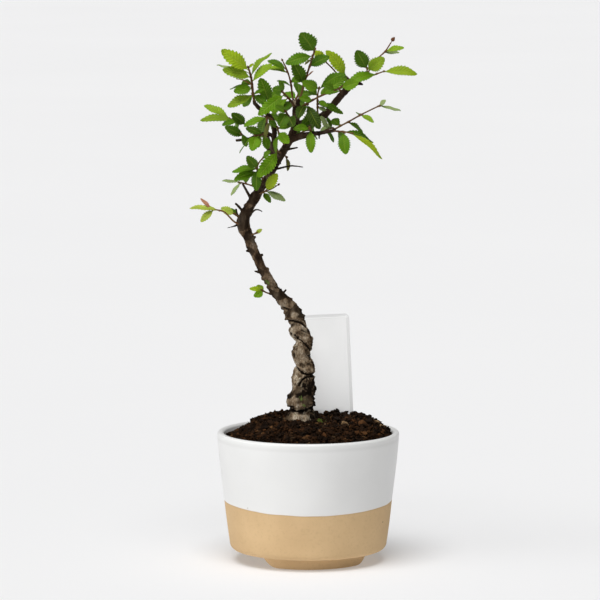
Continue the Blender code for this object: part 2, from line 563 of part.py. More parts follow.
def make_soil(parts, cutters):
    wall = [(radius - GAP, height + GAP) for radius, height in inner_wall()]
    edge = wall[0][0]
    bm = bmesh.new()
    top = []
    for ring in range(1, SOIL_RINGS + 1):
        radius = edge * (ring / SOIL_RINGS) ** 0.9
        loop = []
        for step in range(SOIL_SEGMENTS):
            turn = 2 * pi * (step + 0.5 * (ring % 2)) / SOIL_SEGMENTS
            x, y = radius * cos(turn), radius * sin(turn)
            loop.append(bm.verts.new(Vector((x, y, soil_height(x, y))) * MM))
        top.append(loop)
    middle = bm.verts.new(Vector((0.0, 0.0, soil_height(0.0, 0.0))) * MM)
    for step in range(SOIL_SEGMENTS):
        bm.faces.new((middle, top[0][step], top[0][(step + 1) % SOIL_SEGMENTS]))
    loops = list(top)
    for radius, height in wall[1:]:
        loop = []
        for step in range(SOIL_SEGMENTS):
            turn = 2 * pi * (step + 0.5 * (SOIL_RINGS % 2)) / SOIL_SEGMENTS
            loop.append(bm.verts.new(Vector((radius * cos(turn), radius * sin(turn), height)) * MM))
        loops.append(loop)
    for number, (inner, outer) in enumerate(zip(loops, loops[1:]), start=1):
        shift = number % 2 if number < SOIL_RINGS else 0
        staggered = number < SOIL_RINGS
        for step in range(SOIL_SEGMENTS):
            after = (step + 1) % SOIL_SEGMENTS
            if not staggered:
                bm.faces.new((inner[step], outer[step], outer[after], inner[after]))
            elif shift:
                bm.faces.new((inner[step], outer[after], inner[after]))
                bm.faces.new((inner[step], outer[step], outer[after]))
            else:
                bm.faces.new((inner[step], outer[step], inner[after]))
                bm.faces.new((inner[after], outer[step], outer[after]))
    bm.faces.new(loops[-1][::-1])
    bmesh.ops.recalc_face_normals(bm, faces=bm.faces)
    mesh = bpy.data.meshes.new("soil")
    bm.to_mesh(mesh)
    bm.free()
    soil = add_object("soil", mesh, parts, material("dark_soil", (0.045, 0.026, 0.018), 0.95))
    soil.location.x = POT_X * MM
    for cutter in (root_hole(cutters), label_slot(cutters), mesh_recess(cutters)):
        cut(soil, cutter)
    smooth(applied(soil), 20)


def root_hole(cutters):
    """The plain hole that the root end of the trunk stands in."""
    buried = [(radius * 1.1 + GAP, height) for x, height, radius in TRUNK[:6]]
    profile = [(0.0, 96.0), (buried[-1][0], 96.0)] + buried[::-1]
    profile += [(buried[0][0], 57.0), (0.0, 57.0)]
    hole = as_cutter(turned("root_hole", profile, 24, cutters))
    hole.location.x = (POT_X + TRUNK[0][0]) * MM
    return hole


def box(name, size, group):
    mesh = bpy.data.meshes.new(name)
    bm = bmesh.new()
    bmesh.ops.create_cube(bm, size=1.0)
    for vert in bm.verts:
        vert.co = Vector([vert.co[axis] * size[axis] * MM for axis in range(3)])
    bm.to_mesh(mesh)
    bm.free()
    return add_object(name, mesh, group)


def set_like_label(item, below):
    """Turn and place a piece whose top edge is the label's own, 'below' that edge's middle."""
    x, height, depth = LABEL_TOP
    top = placed(x, height, depth)
    item.rotation_euler = (0.0, -LABEL_TILT, 0.0)
    item.location = top - Vector((-sin(LABEL_TILT), 0.0, cos(LABEL_TILT))) * below * MM
    return item


def label_slot(cutters):
    size = (LABEL_WIDTH + 2 * GAP, LABEL_THICKNESS + 2 * GAP, LABEL_HEIGHT + 2 * GAP)
    return as_cutter(set_like_label(box("label_slot", size, cutters), LABEL_HEIGHT / 2))


def plate(name, outline, thickness, group):
    """An upright plate: a flat outline of (x, z) points, extruded to both sides of y = 0."""
    curve = bpy.data.curves.new(name, "CURVE")
    curve.dimensions = "2D"
    curve.fill_mode = "BOTH"
    curve.extrude = 0.5 * thickness * MM
    spline = curve.splines.new("POLY")
    spline.points.add(len(outline) - 1)
    spline.use_cyclic_u = True
    for point, (x, z) in zip(spline.points, outline):
        point.co = (x * MM, z * MM, 0.0, 1.0)
    flat = bpy.data.objects.new(name, curve)
    group.objects.link(flat)
    mesh = bpy.data.meshes.new_from_object(
        flat.evaluated_get(bpy.context.evaluated_depsgraph_get()))
    bpy.data.objects.remove(flat, do_unlink=True)
    bpy.data.curves.remove(curve)
    bm = bmesh.new()
    bm.from_mesh(mesh)
    bmesh.ops.remove_doubles(bm, verts=bm.verts, dist=0.00001)
    for vert in bm.verts:
        vert.co = Vector((vert.co.x, -vert.co.z, vert.co.y))
    bmesh.ops.recalc_face_normals(bm, faces=bm.faces)
    bm.to_mesh(mesh)
    bm.free()
    return add_object(name, mesh, group)


def make_label(parts):
    """A blank plastic label: a flat plate with round corners, stuck in the soil behind the trunk."""
    half = LABEL_WIDTH / 2
    corners = [(half, 0.0, 0), (half, LABEL_HEIGHT, 270), (-half, LABEL_HEIGHT, 180), (-half, 0.0, 90)]
    outline = []
    for x, drop, start in corners:
        middle_x = x - LABEL_CORNER if x > 0 else x + LABEL_CORNER
        middle_z = -LABEL_CORNER if drop == 0.0 else LABEL_CORNER - drop
        for step in range(4):
            turn = radians(start + 90 - 30 * step)
            outline.append((middle_x + LABEL_CORNER * cos(turn), middle_z + LABEL_CORNER * sin(turn)))
    label = plate("plant_label", outline, LABEL_THICKNESS, parts)
    label.data.materials.append(material("frosted_plastic", (0.86, 0.87, 0.87), 0.4))
    set_like_label(label, 0.0)


def mesh_recess(cutters):
    size = (MESH_SIZE + 2 * GAP, MESH_SIZE + 2 * GAP, 2 * (MESH_THICKNESS + 2 * GAP))
    recess = as_cutter(box("mesh_recess", size, cutters))
    recess.location = Vector((POT_X, 0.0, FLOOR_TOP)) * MM
    return recess


def make_drainage_mesh(parts):
    """A square of plastic netting over the drain hole."""
    bm = bmesh.new()
    bmesh.ops.create_grid(bm, x_segments=MESH_CELLS, y_segments=MESH_CELLS, size=MESH_SIZE / 2 * MM)
    cell = MESH_SIZE / MESH_CELLS * MM
    corner = MESH_SIZE / 2 * MM
    holes = []
    for face in bm.faces:
        middle = face.calc_center_median()
        column = int((middle.x + corner) / cell)
        row = int((middle.y + corner) / cell)
        if column % 2 and row % 2:
            holes.append(face)
    bmesh.ops.delete(bm, geom=holes, context="FACES")
    mesh = bpy.data.meshes.new("drainage_mesh")
    bm.to_mesh(mesh)
    bm.free()
    net = add_object("drainage_mesh", mesh, parts, material("black_plastic", (0.03, 0.03, 0.03), 0.5))
    net.location = Vector((POT_X, 0.0, FLOOR_TOP + GAP)) * MM
    wall = net.modifiers.new("thickness", "SOLIDIFY")
    wall.thickness = MESH_THICKNESS * MM
    wall.offset = 1.0
    applied(net)


def trunk_depth(height):
    """The trunk sways a little towards the back and returns at its top."""
    return 3.0 * sin((height - 88.0) / 62.0) if height > 88.0 else 0.0


def make_trunk_core(group):
    """The trunk: round sections with two twisted wire-scar bulges on its lower part."""
    centres = [placed(x, height, trunk_depth(height)) for x, height, radius in TRUNK]
    bm = bmesh.new()
    rings = []
    for number, (x, height, radius) in enumerate(TRUNK):
        before = centres[max(0, number - 3)]
        after = centres[min(len(TRUNK) - 1, number + 3)]
        along = (after - before).normalized()
        side = Vector((0.0, 1.0, 0.0)).cross(along).normalized()
        back = along.cross(side)
        scar = SCAR_DEPTH * max(0.0, min(1.0, (height - 86.0) / 8.0, (170.0 - height) / 18.0))
        ring = []
        for step in range(TRUNK_SIDES):
            turn = 2 * pi * step / TRUNK_SIDES
            twist = cos(2 * turn - 2 * pi * height / SCAR_PITCH)
            reach = radius * (1.0 + scar * twist) * MM
            ring.append(bm.verts.new(centres[number] + (side * cos(turn) + back * sin(turn)) * reach))
        rings.append(ring)
    for lower, upper in zip(rings, rings[1:]):
        for step in range(TRUNK_SIDES):
            after = (step + 1) % TRUNK_SIDES
            bm.faces.new((lower[step], lower[after], upper[after], upper[step]))
    bm.faces.new(rings[0][::-1])
    bm.faces.new(rings[-1])
    bmesh.ops.recalc_face_normals(bm, faces=bm.faces)
    bmesh.ops.triangulate(bm, faces=bm.faces)
    mesh = bpy.data.meshes.new("trunk")
    bm.to_mesh(mesh)
    bm.free()
    return add_object("trunk", mesh, group, material("bark", (0.12, 0.085, 0.06), 0.85))


def collar_points(shoot):
    """The root of a shoot in the wood, and the end of the woody collar that it grows from."""
    collar, stems = SHOOTS[shoot]
    first, second = (placed(*point) for point in stems[0][0][:2])
    along = (second - first).normalized()
    return first, first + along * collar * MM, along


def make_trunk(parts):
    wood = new_collection("wood")
    trunk = make_trunk_core(parts)
    for name, points in BRANCHES.items():
        path = [placed(x, height, depth) for x, height, depth, radius in points]
        tube("branch_" + name, path, 0, 0, wood, 1, [radius for *place, radius in points])
    for number, (points, first_radius, last_radius) in enumerate(STUBS):
        tube(f"stub_{number}", [placed(*point) for point in points], first_radius, last_radius, wood, 0)
    for name, (collar, stems) in SHOOTS.items():
        root, end, along = collar_points(name)
        thickness = stems[0][1]
        tube("collar_" + name, [root, end], thickness + 0.35, thickness + 0.05, wood)
    smooth(fuse(trunk, wood), 50)


def half_width(share):
    """Half the width of a blade at a share of its length: an oval with a blunt tip."""
    return 0.5 * sin(pi * share ** 1.02) ** (0.85 - 0.3 * share)


def blade_stations(length):
    """Shares of the length and half widths down a toothed edge, with each notch behind its tooth."""
    teeth = max(FEWEST_TEETH, min(MOST_TEETH, round(length / (TOOTH_SPACING * MM))))
    step = (LAST_TOOTH - FIRST_TOOTH) / (teeth - 1)
    stations = []
    for number in range(teeth):
        share = FIRST_TOOTH + step * number
        notch = share + TOOTH_BACK
        stations.append((share, half_width(share)))
        stations.append((notch, half_width(notch) * (1.0 - TOOTH_DEPTH)))
    return stations


def make_blade(name, base, tip, turn, wide, group):
    """One leaf: a toothed blade, arched along its length, from its root in the stem to its tip."""
    reach = tip - base
    length = reach.length
    axis = reach.normalized()
    facing = Vector((0.0, -1.0, 0.0))
    facing = (facing - axis * facing.dot(axis)).normalized()
    lifted = axis.cross(facing)
    if lifted.z < 0.0:
        lifted = -lifted
    normal = facing * cos(radians(turn)) + lifted * sin(radians(turn))
    across = axis.cross(normal)
    bm = bmesh.new()

    def pair(share, half):
        middle = base + reach * share + normal * BLADE_ARCH * length * sin(pi * share)
        return [bm.verts.new(middle + across * half * way) for way in (-1, 1)]

    rows = [pair(0.0, BLADE_ROOT * MM)]
    stations = blade_stations(length)
    rows += [pair(share, half * wide * length) for share, half in stations]
    end = bm.verts.new(tip)
    for first, second in zip(rows, rows[1:]):
        bm.faces.new((first[0], first[1], second[1]))
        bm.faces.new((first[0], second[1], second[0]))
    bm.faces.new((rows[-1][0], rows[-1][1], end))
    mesh = bpy.data.meshes.new(name)
    bm.to_mesh(mesh)
    bm.free()
    blade = add_object(name, mesh, group)
    skin = blade.modifiers.new("thickness", "SOLIDIFY")
    skin.thickness = BLADE_THICKNESS * MM
    skin.offset = 0.0
    return applied(blade)


def point_along(points, place):
    """The point at a fractional index of a list of points."""
    index = min(int(place), len(points) - 2)
    return points[index].lerp(points[index + 1], place - index)


def make_shoot(name, parts, finish):
    """A leafy shoot: its stems and all its leaves, fused."""
    collar, stems = SHOOTS[name]
    repeats = new_collection("pieces_of_" + name)
    shoot = None
    for number, (points, first_radius, last_radius, leaves) in enumerate(stems):
        path = [placed(*point) for point in points]
        start = path
        if number == 0:
            root, end, along = collar_points(name)
            start = [end + along * GAP * MM] + path[1:]
        target = parts if number == 0 else repeats
        rod = tube(f"{name}_stem_{number}", start, first_radius, last_radius, target)
        if number == 0:
            shoot = rod
        for leaf, (place, tip_x, tip_height, tip_depth, turn, wide) in enumerate(leaves):
            base = point_along(path, place)
            depth = base.y / MM + tip_depth
            tip = placed(tip_x, tip_height, depth)
            make_blade(f"{name}_blade_{number}_{leaf}", base, tip, turn, wide, repeats)
    fuse(shoot, repeats)
    shoot.name = name
    shoot.data.materials.clear()
    shoot.data.materials.append(finish)
    smooth(shoot, 40)


def smooth(item, degrees):
    item.data.shade_smooth()
    item.data.set_sharp_from_angle(angle=radians(degrees))


def main():
    clear_scene()
    parts = new_collection("bonsai")
    cutters = new_collection("cutters")
    make_pot(parts, cutters)
    make_drainage_mesh(parts)
    make_soil(parts, cutters)
    make_label(parts)
    make_trunk(parts)
    grown = material("leaf_green", (0.09, 0.22, 0.03), 0.5)
    young = material("young_leaf", (0.32, 0.42, 0.06), 0.5)
    for name in SHOOTS:
        make_shoot(name, parts, young if "young" in name or name == "bud_shoot" else grown)


main()
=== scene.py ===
# %% [markdown]
# # A small elm bonsai in its two-tone pot
# The tree is about 320 mm tall, so nearly everything here is small: leaves of 10 to 20 mm, crumbs of
# soil of 2 mm, a pot with a 4 mm wall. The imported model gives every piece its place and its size. This
# script gives each piece its fine shape and its finish.

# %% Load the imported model
import random
from math import cos, exp, pi, radians, sin

import bmesh
import bpy
import numpy as np
from mathutils import Matrix, Vector, noise
from mathutils.kdtree import KDTree


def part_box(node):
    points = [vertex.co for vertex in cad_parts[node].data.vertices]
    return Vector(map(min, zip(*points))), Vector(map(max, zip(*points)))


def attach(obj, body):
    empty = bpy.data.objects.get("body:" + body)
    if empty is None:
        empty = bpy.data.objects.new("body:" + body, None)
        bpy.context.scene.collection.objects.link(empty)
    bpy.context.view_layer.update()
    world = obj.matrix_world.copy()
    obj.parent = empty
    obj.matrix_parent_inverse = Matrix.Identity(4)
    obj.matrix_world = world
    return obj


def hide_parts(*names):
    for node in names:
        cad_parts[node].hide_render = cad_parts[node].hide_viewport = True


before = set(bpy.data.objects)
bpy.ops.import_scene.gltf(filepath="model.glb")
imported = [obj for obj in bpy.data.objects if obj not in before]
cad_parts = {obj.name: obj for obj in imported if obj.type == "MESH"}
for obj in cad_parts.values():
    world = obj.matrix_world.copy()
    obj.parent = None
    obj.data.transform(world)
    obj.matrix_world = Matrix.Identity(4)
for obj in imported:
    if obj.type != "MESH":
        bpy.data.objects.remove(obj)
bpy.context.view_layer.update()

MM = 0.001
POT_LOW, POT_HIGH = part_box("pot")
POT_X = 0.5 * (POT_LOW.x + POT_HIGH.x)
RIM_RADIUS = 0.5 * (POT_HIGH.x - POT_LOW.x)

# %% [markdown]
# ## Working by hand, in code
# Each piece starts as a primitive and is then shaped in edit mode, as one would do by hand. An edit
# operator acts on all that is selected, so these helpers first clear the selection and then pick faces
# or edges by where they are.

# %% Helpers for selecting and finishing
def let_go():
    """Leave edit mode and deselect everything."""
    if bpy.context.object and bpy.context.object.mode != "OBJECT":
        bpy.ops.object.mode_set(mode="OBJECT")
    bpy.ops.object.select_all(action="DESELECT")


def take(item):
    """Make one object the only one selected."""
    let_go()
    item.select_set(True)
    bpy.context.view_layer.objects.active = item
    return item


def pick(item, kind, test):
    """In edit mode, select only the faces or edges of an object that pass a test."""
    bpy.ops.mesh.select_mode(type=kind)
    bpy.ops.mesh.select_all(action="DESELECT")
    sheet = bmesh.from_edit_mesh(item.data)
    for part in sheet.faces if kind == "FACE" else sheet.edges:
        part.select = test(part)
    sheet.select_flush_mode()
    bmesh.update_edit_mesh(item.data)


def settle(item, name, angle=35.0):
    """Put an object's place into its mesh, name it and shade it smooth."""
    take(item)
    bpy.ops.object.transform_apply(location=True, rotation=True, scale=True)
    item.name = name
    item.data.name = name
    bpy.ops.object.shade_smooth_by_angle(angle=radians(angle))
    return item


def apply_all(item):
    take(item)
    for step in list(item.modifiers):
        bpy.ops.object.modifier_apply(modifier=step.name)
    return item


def corners(item):
    """All the points of a mesh as rows of x, y, z."""
    flat = np.empty(len(item.data.vertices) * 3, dtype=np.float32)
    item.data.vertices.foreach_get("co", flat)
    return flat.reshape(-1, 3).astype(float)


def move_corners(item, points):
    item.data.vertices.foreach_set("co", np.asarray(points, dtype=np.float32).ravel())
    item.data.update()


def tag(item, name, values):
    """Store one number for each point, which a material can read."""
    mark = item.data.attributes.new(name, "FLOAT", "POINT")
    mark.data.foreach_set("value", np.broadcast_to(values, len(item.data.vertices)).astype(np.float32))


def dye(item, name, color):
    """Store one colour at every point of a mesh."""
    mark = item.data.attributes.new(name, "FLOAT_COLOR", "POINT")
    rows = np.tile((*color, 1.0), (len(item.data.vertices), 1)).astype(np.float32)
    mark.data.foreach_set("color", rows.ravel())


def join(items, name):
    """Join several objects into one, which keeps the first one's place."""
    let_go()
    for item in items:
        item.select_set(True)
    bpy.context.view_layer.objects.active = items[0]
    bpy.ops.object.join()
    items[0].name = name
    items[0].data.name = name
    return items[0]


# %% [markdown]
# ## Nodes that several finishes share
# Clay, bark, soil and plastic all vary a little from place to place. One group holds that variation. It
# gives out a mask between 0 and 1, which a material then uses for its colour, its gloss and its relief.

# %% Helpers for materials and the shared grain group
def finish(name, roughness=0.6):
    """A new material with its nodes, its links and its shader at hand."""
    result = bpy.data.materials.new(name)
    result.use_nodes = True
    nodes, links = result.node_tree.nodes, result.node_tree.links
    shader = nodes["Principled BSDF"]
    shader.inputs["Roughness"].default_value = roughness
    return result, nodes, links, shader


def grain_group():
    """Fine grain over broad patches, for any surface."""
    tree = bpy.data.node_groups.new("grain_and_patches", "ShaderNodeTree")
    for title, kind in (("Vector", "NodeSocketVector"), ("Patch Scale", "NodeSocketFloat"),
                        ("Grain Scale", "NodeSocketFloat")):
        tree.interface.new_socket(title, in_out="INPUT", socket_type=kind)
    for title in ("Patches", "Grain"):
        tree.interface.new_socket(title, in_out="OUTPUT", socket_type="NodeSocketFloat")
    nodes, links = tree.nodes, tree.links
    entry, leave = nodes.new("NodeGroupInput"), nodes.new("NodeGroupOutput")
    for title, detail in (("Patch", 3.0), ("Grain", 5.0)):
        cloud = nodes.new("ShaderNodeTexNoise")
        cloud.inputs["Detail"].default_value = detail
        spread = nodes.new("ShaderNodeMapRange")
        spread.inputs["From Min"].default_value = 0.32
        spread.inputs["From Max"].default_value = 0.68
        links.new(entry.outputs["Vector"], cloud.inputs["Vector"])
        links.new(entry.outputs[title + " Scale"], cloud.inputs["Scale"])
        links.new(cloud.outputs["Fac"], spread.inputs["Value"])
        links.new(spread.outputs["Result"], leave.inputs["Patches" if title == "Patch" else "Grain"])
    return tree


GRAIN = grain_group()


def add_grain(nodes, links, patch_scale, grain_scale, stretch=(1.0, 1.0, 1.0)):
    """Place the shared group on Object coordinates and return its node."""
    place = nodes.new("ShaderNodeTexCoord")
    turn = nodes.new("ShaderNodeMapping")
    turn.inputs["Scale"].default_value = stretch
    group = nodes.new("ShaderNodeGroup")
    group.node_tree = GRAIN
    group.inputs["Patch Scale"].default_value = patch_scale
    group.inputs["Grain Scale"].default_value = grain_scale
    links.new(place.outputs["Object"], turn.inputs["Vector"])
    links.new(turn.outputs["Vector"], group.inputs["Vector"])
    return group


def blend(nodes, links, share, low, high, kind="MIX"):
    """Mix two colours, or sockets, by a share, and return the mixed colour's socket."""
    mix = nodes.new("ShaderNodeMix")
    mix.data_type = "RGBA"
    mix.blend_type = kind
    for socket, value in ((mix.inputs[0], share), (mix.inputs[6], low), (mix.inputs[7], high)):
        if isinstance(value, bpy.types.NodeSocket):
            links.new(value, socket)
        elif isinstance(value, tuple):
            socket.default_value = (*value, 1.0)
        else:
            socket.default_value = value
    return mix.outputs[2]


def ramp(nodes, links, value, low, high, start=0.0, end=1.0, smooth=False):
    """Map a value from one range to another."""
    node = nodes.new("ShaderNodeMapRange")
    node.interpolation_type = "SMOOTHSTEP" if smooth else "LINEAR"
    links.new(value, node.inputs["Value"])
    for title, number in (("From Min", low), ("From Max", high), ("To Min", start), ("To Max", end)):
        node.inputs[title].default_value = number
    return node.outputs["Result"]


def calculate(nodes, links, kind, first, second=None, third=None):
    """One arithmetic step on sockets or numbers."""
    node = nodes.new("ShaderNodeMath")
    node.operation = kind
    for socket, value in zip(node.inputs, (first, second, third)):
        if isinstance(value, bpy.types.NodeSocket):
            links.new(value, socket)
        elif value is not None:
            socket.default_value = value
    return node.outputs["Value"]


def relief(nodes, links, shader, *layers):
    """Chain Bump nodes, each with a height, a strength and a depth in metres, into the shader."""
    normal = None
    for height, strength, depth in layers:
        bump = nodes.new("ShaderNodeBump")
        bump.inputs["Strength"].default_value = strength
        bump.inputs["Distance"].default_value = depth
        links.new(height, bump.inputs["Height"])
        if normal:
            links.new(normal, bump.inputs["Normal"])
        normal = bump.outputs["Normal"]
    links.new(normal, shader.inputs["Normal"])


def read_tag(nodes, name, output="Fac"):
    node = nodes.new("ShaderNodeAttribute")
    node.attribute_name = name
    return node.outputs[output]


# %% [markdown]
# ## The pot
# The real pot was thrown or cast as one piece, dipped in white glaze down to a line, and left as bare
# tan clay below. It is modelled the same way round: a cylinder is cut into bands whose rings are set to
# the pot's profile, its top is inset and pushed down for the inside, and its foot ring is extruded from
# the underside. Bevels then give the rim and the edges the soft roundness of fired clay.

# %% Shape the pot
POT_SIDES = 144
FOOT_HEIGHT = 7.0 * MM
FLOOR_TOP = 12.5 * MM
WALL = 4.0 * MM
GLAZE_LINE = 34.9 * MM
GLAZE_CURVE = 2.2 * MM / (51.0 * MM) ** 2
SHOULDER = 11.7 * MM
BAND_HEIGHTS = (11.7, 17.0, 24.0, 31.0, 38.0, 46.0, 54.0, 62.0, 70.0)
UNDERSIDE_RADIUS = 46.9 * MM
FOOT_INSET = 9.5 * MM
FOOT_WIDTH = 7.2 * MM
RECESS_LIFT = 0.3 * MM
INSIDE_TAPER = 0.86
FOOT_TAPER = 0.976
FOOT_EDGE_RADII = (36.5 * MM, 29.3 * MM)
OUTER_LIP, INNER_LIP, UNDERSIDE_BEND, FOOT_EDGE = 1.7 * MM, 1.5 * MM, 3.4 * MM, 0.7 * MM


def outer_radius(height):
    """The pot's outside, which opens slightly towards the rim."""
    share = (height - SHOULDER) / (POT_HIGH.z - SHOULDER)
    return (47.5 + 7.5 * (1.28 * share - 0.28 * share * share)) * MM


def around(point):
    """Distance from the pot's centre line."""
    return ((point.x - POT_X) ** 2 + point.y ** 2) ** 0.5


def flat_at(height):
    """A test for a flat face at a height."""
    return lambda face: abs(face.normal.z) > 0.9 and abs(face.calc_center_median().z - height) < 0.2 * MM


def ring_at(radius, height):
    """A test for the edges of a ring with a radius and a height."""
    def test(edge):
        return all(abs(around(v.co) - radius) < 0.3 * MM and abs(v.co.z - height) < 0.1 * MM
                   for v in edge.verts)
    return test


def set_ring(item, low, high, radius):
    """Set the radius of all points between two heights; radius is a function of height."""
    sheet = bmesh.from_edit_mesh(item.data)
    for vert in sheet.verts:
        if low - 0.01 * MM <= vert.co.z <= high + 0.01 * MM:
            scale = radius(vert.co.z) / around(vert.co)
            vert.co.x = POT_X + (vert.co.x - POT_X) * scale
            vert.co.y *= scale
    bmesh.update_edit_mesh(item.data)


def inset_and_push(item, at, thickness, drop, scale=1.0):
    """Inset the flat face at a height, then extrude it up or down and scale it."""
    pick(item, "FACE", flat_at(at))
    if thickness:
        bpy.ops.mesh.inset(thickness=thickness)
    bpy.ops.mesh.extrude_region_move(TRANSFORM_OT_translate={"value": (0.0, 0.0, drop)})
    if scale != 1.0:
        bpy.ops.transform.resize(value=(scale, scale, 1.0), center_override=(POT_X, 0.0, 0.0))


def round_ring(item, radius, height, reach, steps):
    """Bevel the edge ring with a radius and a height."""
    pick(item, "EDGE", ring_at(radius, height))
    bpy.ops.mesh.bevel(offset=reach, segments=steps, profile=0.5)


def shape_pot():
    body_height = POT_HIGH.z - FOOT_HEIGHT
    bpy.ops.mesh.primitive_cylinder_add(
        vertices=POT_SIDES, radius=RIM_RADIUS, depth=body_height,
        location=(POT_X, 0.0, FOOT_HEIGHT + 0.5 * body_height))
    pot = bpy.context.object
    bpy.ops.object.transform_apply(location=True, rotation=False, scale=False)
    bpy.ops.object.mode_set(mode="EDIT")
    for height in BAND_HEIGHTS:
        bpy.ops.mesh.select_all(action="SELECT")
        bpy.ops.mesh.bisect(plane_co=(0.0, 0.0, height * MM), plane_no=(0.0, 0.0, 1.0))
    set_ring(pot, SHOULDER, POT_HIGH.z, outer_radius)
    set_ring(pot, FOOT_HEIGHT, FOOT_HEIGHT, lambda height: UNDERSIDE_RADIUS)
    inset_and_push(pot, POT_HIGH.z, WALL, FLOOR_TOP - POT_HIGH.z, INSIDE_TAPER)
    inset_and_push(pot, FOOT_HEIGHT, FOOT_INSET, -FOOT_HEIGHT, FOOT_TAPER)
    inset_and_push(pot, 0.0, FOOT_WIDTH, FOOT_HEIGHT + RECESS_LIFT)
    round_ring(pot, outer_radius(POT_HIGH.z), POT_HIGH.z, OUTER_LIP, 6)
    round_ring(pot, outer_radius(POT_HIGH.z) - WALL, POT_HIGH.z, INNER_LIP, 5)
    round_ring(pot, UNDERSIDE_RADIUS, FOOT_HEIGHT, UNDERSIDE_BEND, 6)
    for radius in FOOT_EDGE_RADII:
        round_ring(pot, radius, 0.0, FOOT_EDGE, 3)
    bpy.ops.object.mode_set(mode="OBJECT")
    return pot


pot = shape_pot()
radii = [around(v.co) / MM for v in pot.data.vertices if v.co.z < 0.1 * MM]
print("pot faces:", len(pot.data.polygons))
print("foot ring from", round(min(radii), 1), "to", round(max(radii), 1), "mm")

# %% [markdown]
# ## Two gaps in the foot
# The foot ring is cut away at two sides, so that water can run out and the pot doesn't rock. What stays
# are a front foot and a back foot with rounded ends, turned a little to the right. Both gaps are cut
# with one long wedge, which widens downwards: a Boolean is the digital wire cutter. The wall also gets a
# few tenths of a millimetre of unevenness, as a hand-finished pot has.

# %% Cut the gaps and make the wall slightly uneven
GAP_AZIMUTH = radians(11)
GAP_CUTTER_SIZE = (0.12, 0.05, 0.008)
UNEVENNESS = 0.45 * MM
GAP_WIDTHS = ((-1.0, 57.0), (0.0, 55.0), (0.5, 51.0), (1.5, 47.5), (3.2, 44.0), (5.2, 41.0), (7.0, 38.5))


def gap_cutter():
    """A long wedge under the pot, wider at the bottom, with curved sides."""
    bpy.ops.mesh.primitive_cube_add(size=1.0, location=(0.0, 0.0, 3.0 * MM))
    cutter = bpy.context.object
    cutter.scale = GAP_CUTTER_SIZE
    bpy.ops.object.transform_apply(location=True, rotation=False, scale=True)
    bpy.ops.object.mode_set(mode="EDIT")
    for height, width in GAP_WIDTHS[1:-1]:
        bpy.ops.mesh.select_all(action="SELECT")
        bpy.ops.mesh.bisect(plane_co=(0.0, 0.0, height * MM), plane_no=(0.0, 0.0, 1.0))
    bpy.ops.object.mode_set(mode="OBJECT")
    points = corners(cutter)
    heights, widths = zip(*GAP_WIDTHS)
    points[:, 1] = np.sign(points[:, 1]) * 0.5 * MM * np.interp(points[:, 2] / MM, heights, widths)
    move_corners(cutter, points)
    cutter.data.transform(Matrix.Translation((POT_X, 0.0, 0.0)) @ Matrix.Rotation(GAP_AZIMUTH, 4, "Z"))
    return cutter


def cut_gaps(item):
    cutter = gap_cutter()
    take(item)
    cut = item.modifiers.new("gaps", "BOOLEAN")
    cut.object = cutter
    bpy.ops.object.modifier_apply(modifier=cut.name)
    bpy.data.objects.remove(cutter, do_unlink=True)


def make_uneven(item, amount):
    """Push the wall in and out by a few tenths, most in the middle and nothing at rim and foot."""
    points = corners(item)
    for row in points:
        share = min(1.0, max(0.0, (row[2] - FOOT_HEIGHT) / (POT_HIGH.z - FOOT_HEIGHT)))
        push = noise.noise(Vector(row) * 38.0) * amount * 4.0 * share * (1.0 - share)
        scale = 1.0 + push / max(0.03, ((row[0] - POT_X) ** 2 + row[1] ** 2) ** 0.5)
        row[0] = POT_X + (row[0] - POT_X) * scale
        row[1] *= scale
    move_corners(item, points)


cut_gaps(pot)
make_uneven(pot, UNEVENNESS)
settle(pot, "white_and_clay_pot", 30)
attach(pot, "root")
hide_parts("pot")
print("pot points after the gaps:", len(pot.data.vertices))

# %% [markdown]
# ## Glaze and bare clay in one finish
# On the real pot the glaze simply ends: above the line it is thick, white and satin, and below it the
# clay is dry, tan and speckled. One material can hold both. The height of a point, wavered a little,
# gives a mask that switches the colour, the gloss and the relief together. The glaze stands a tenth of
# a millimetre proud of the clay, so the mask also feeds the bump.

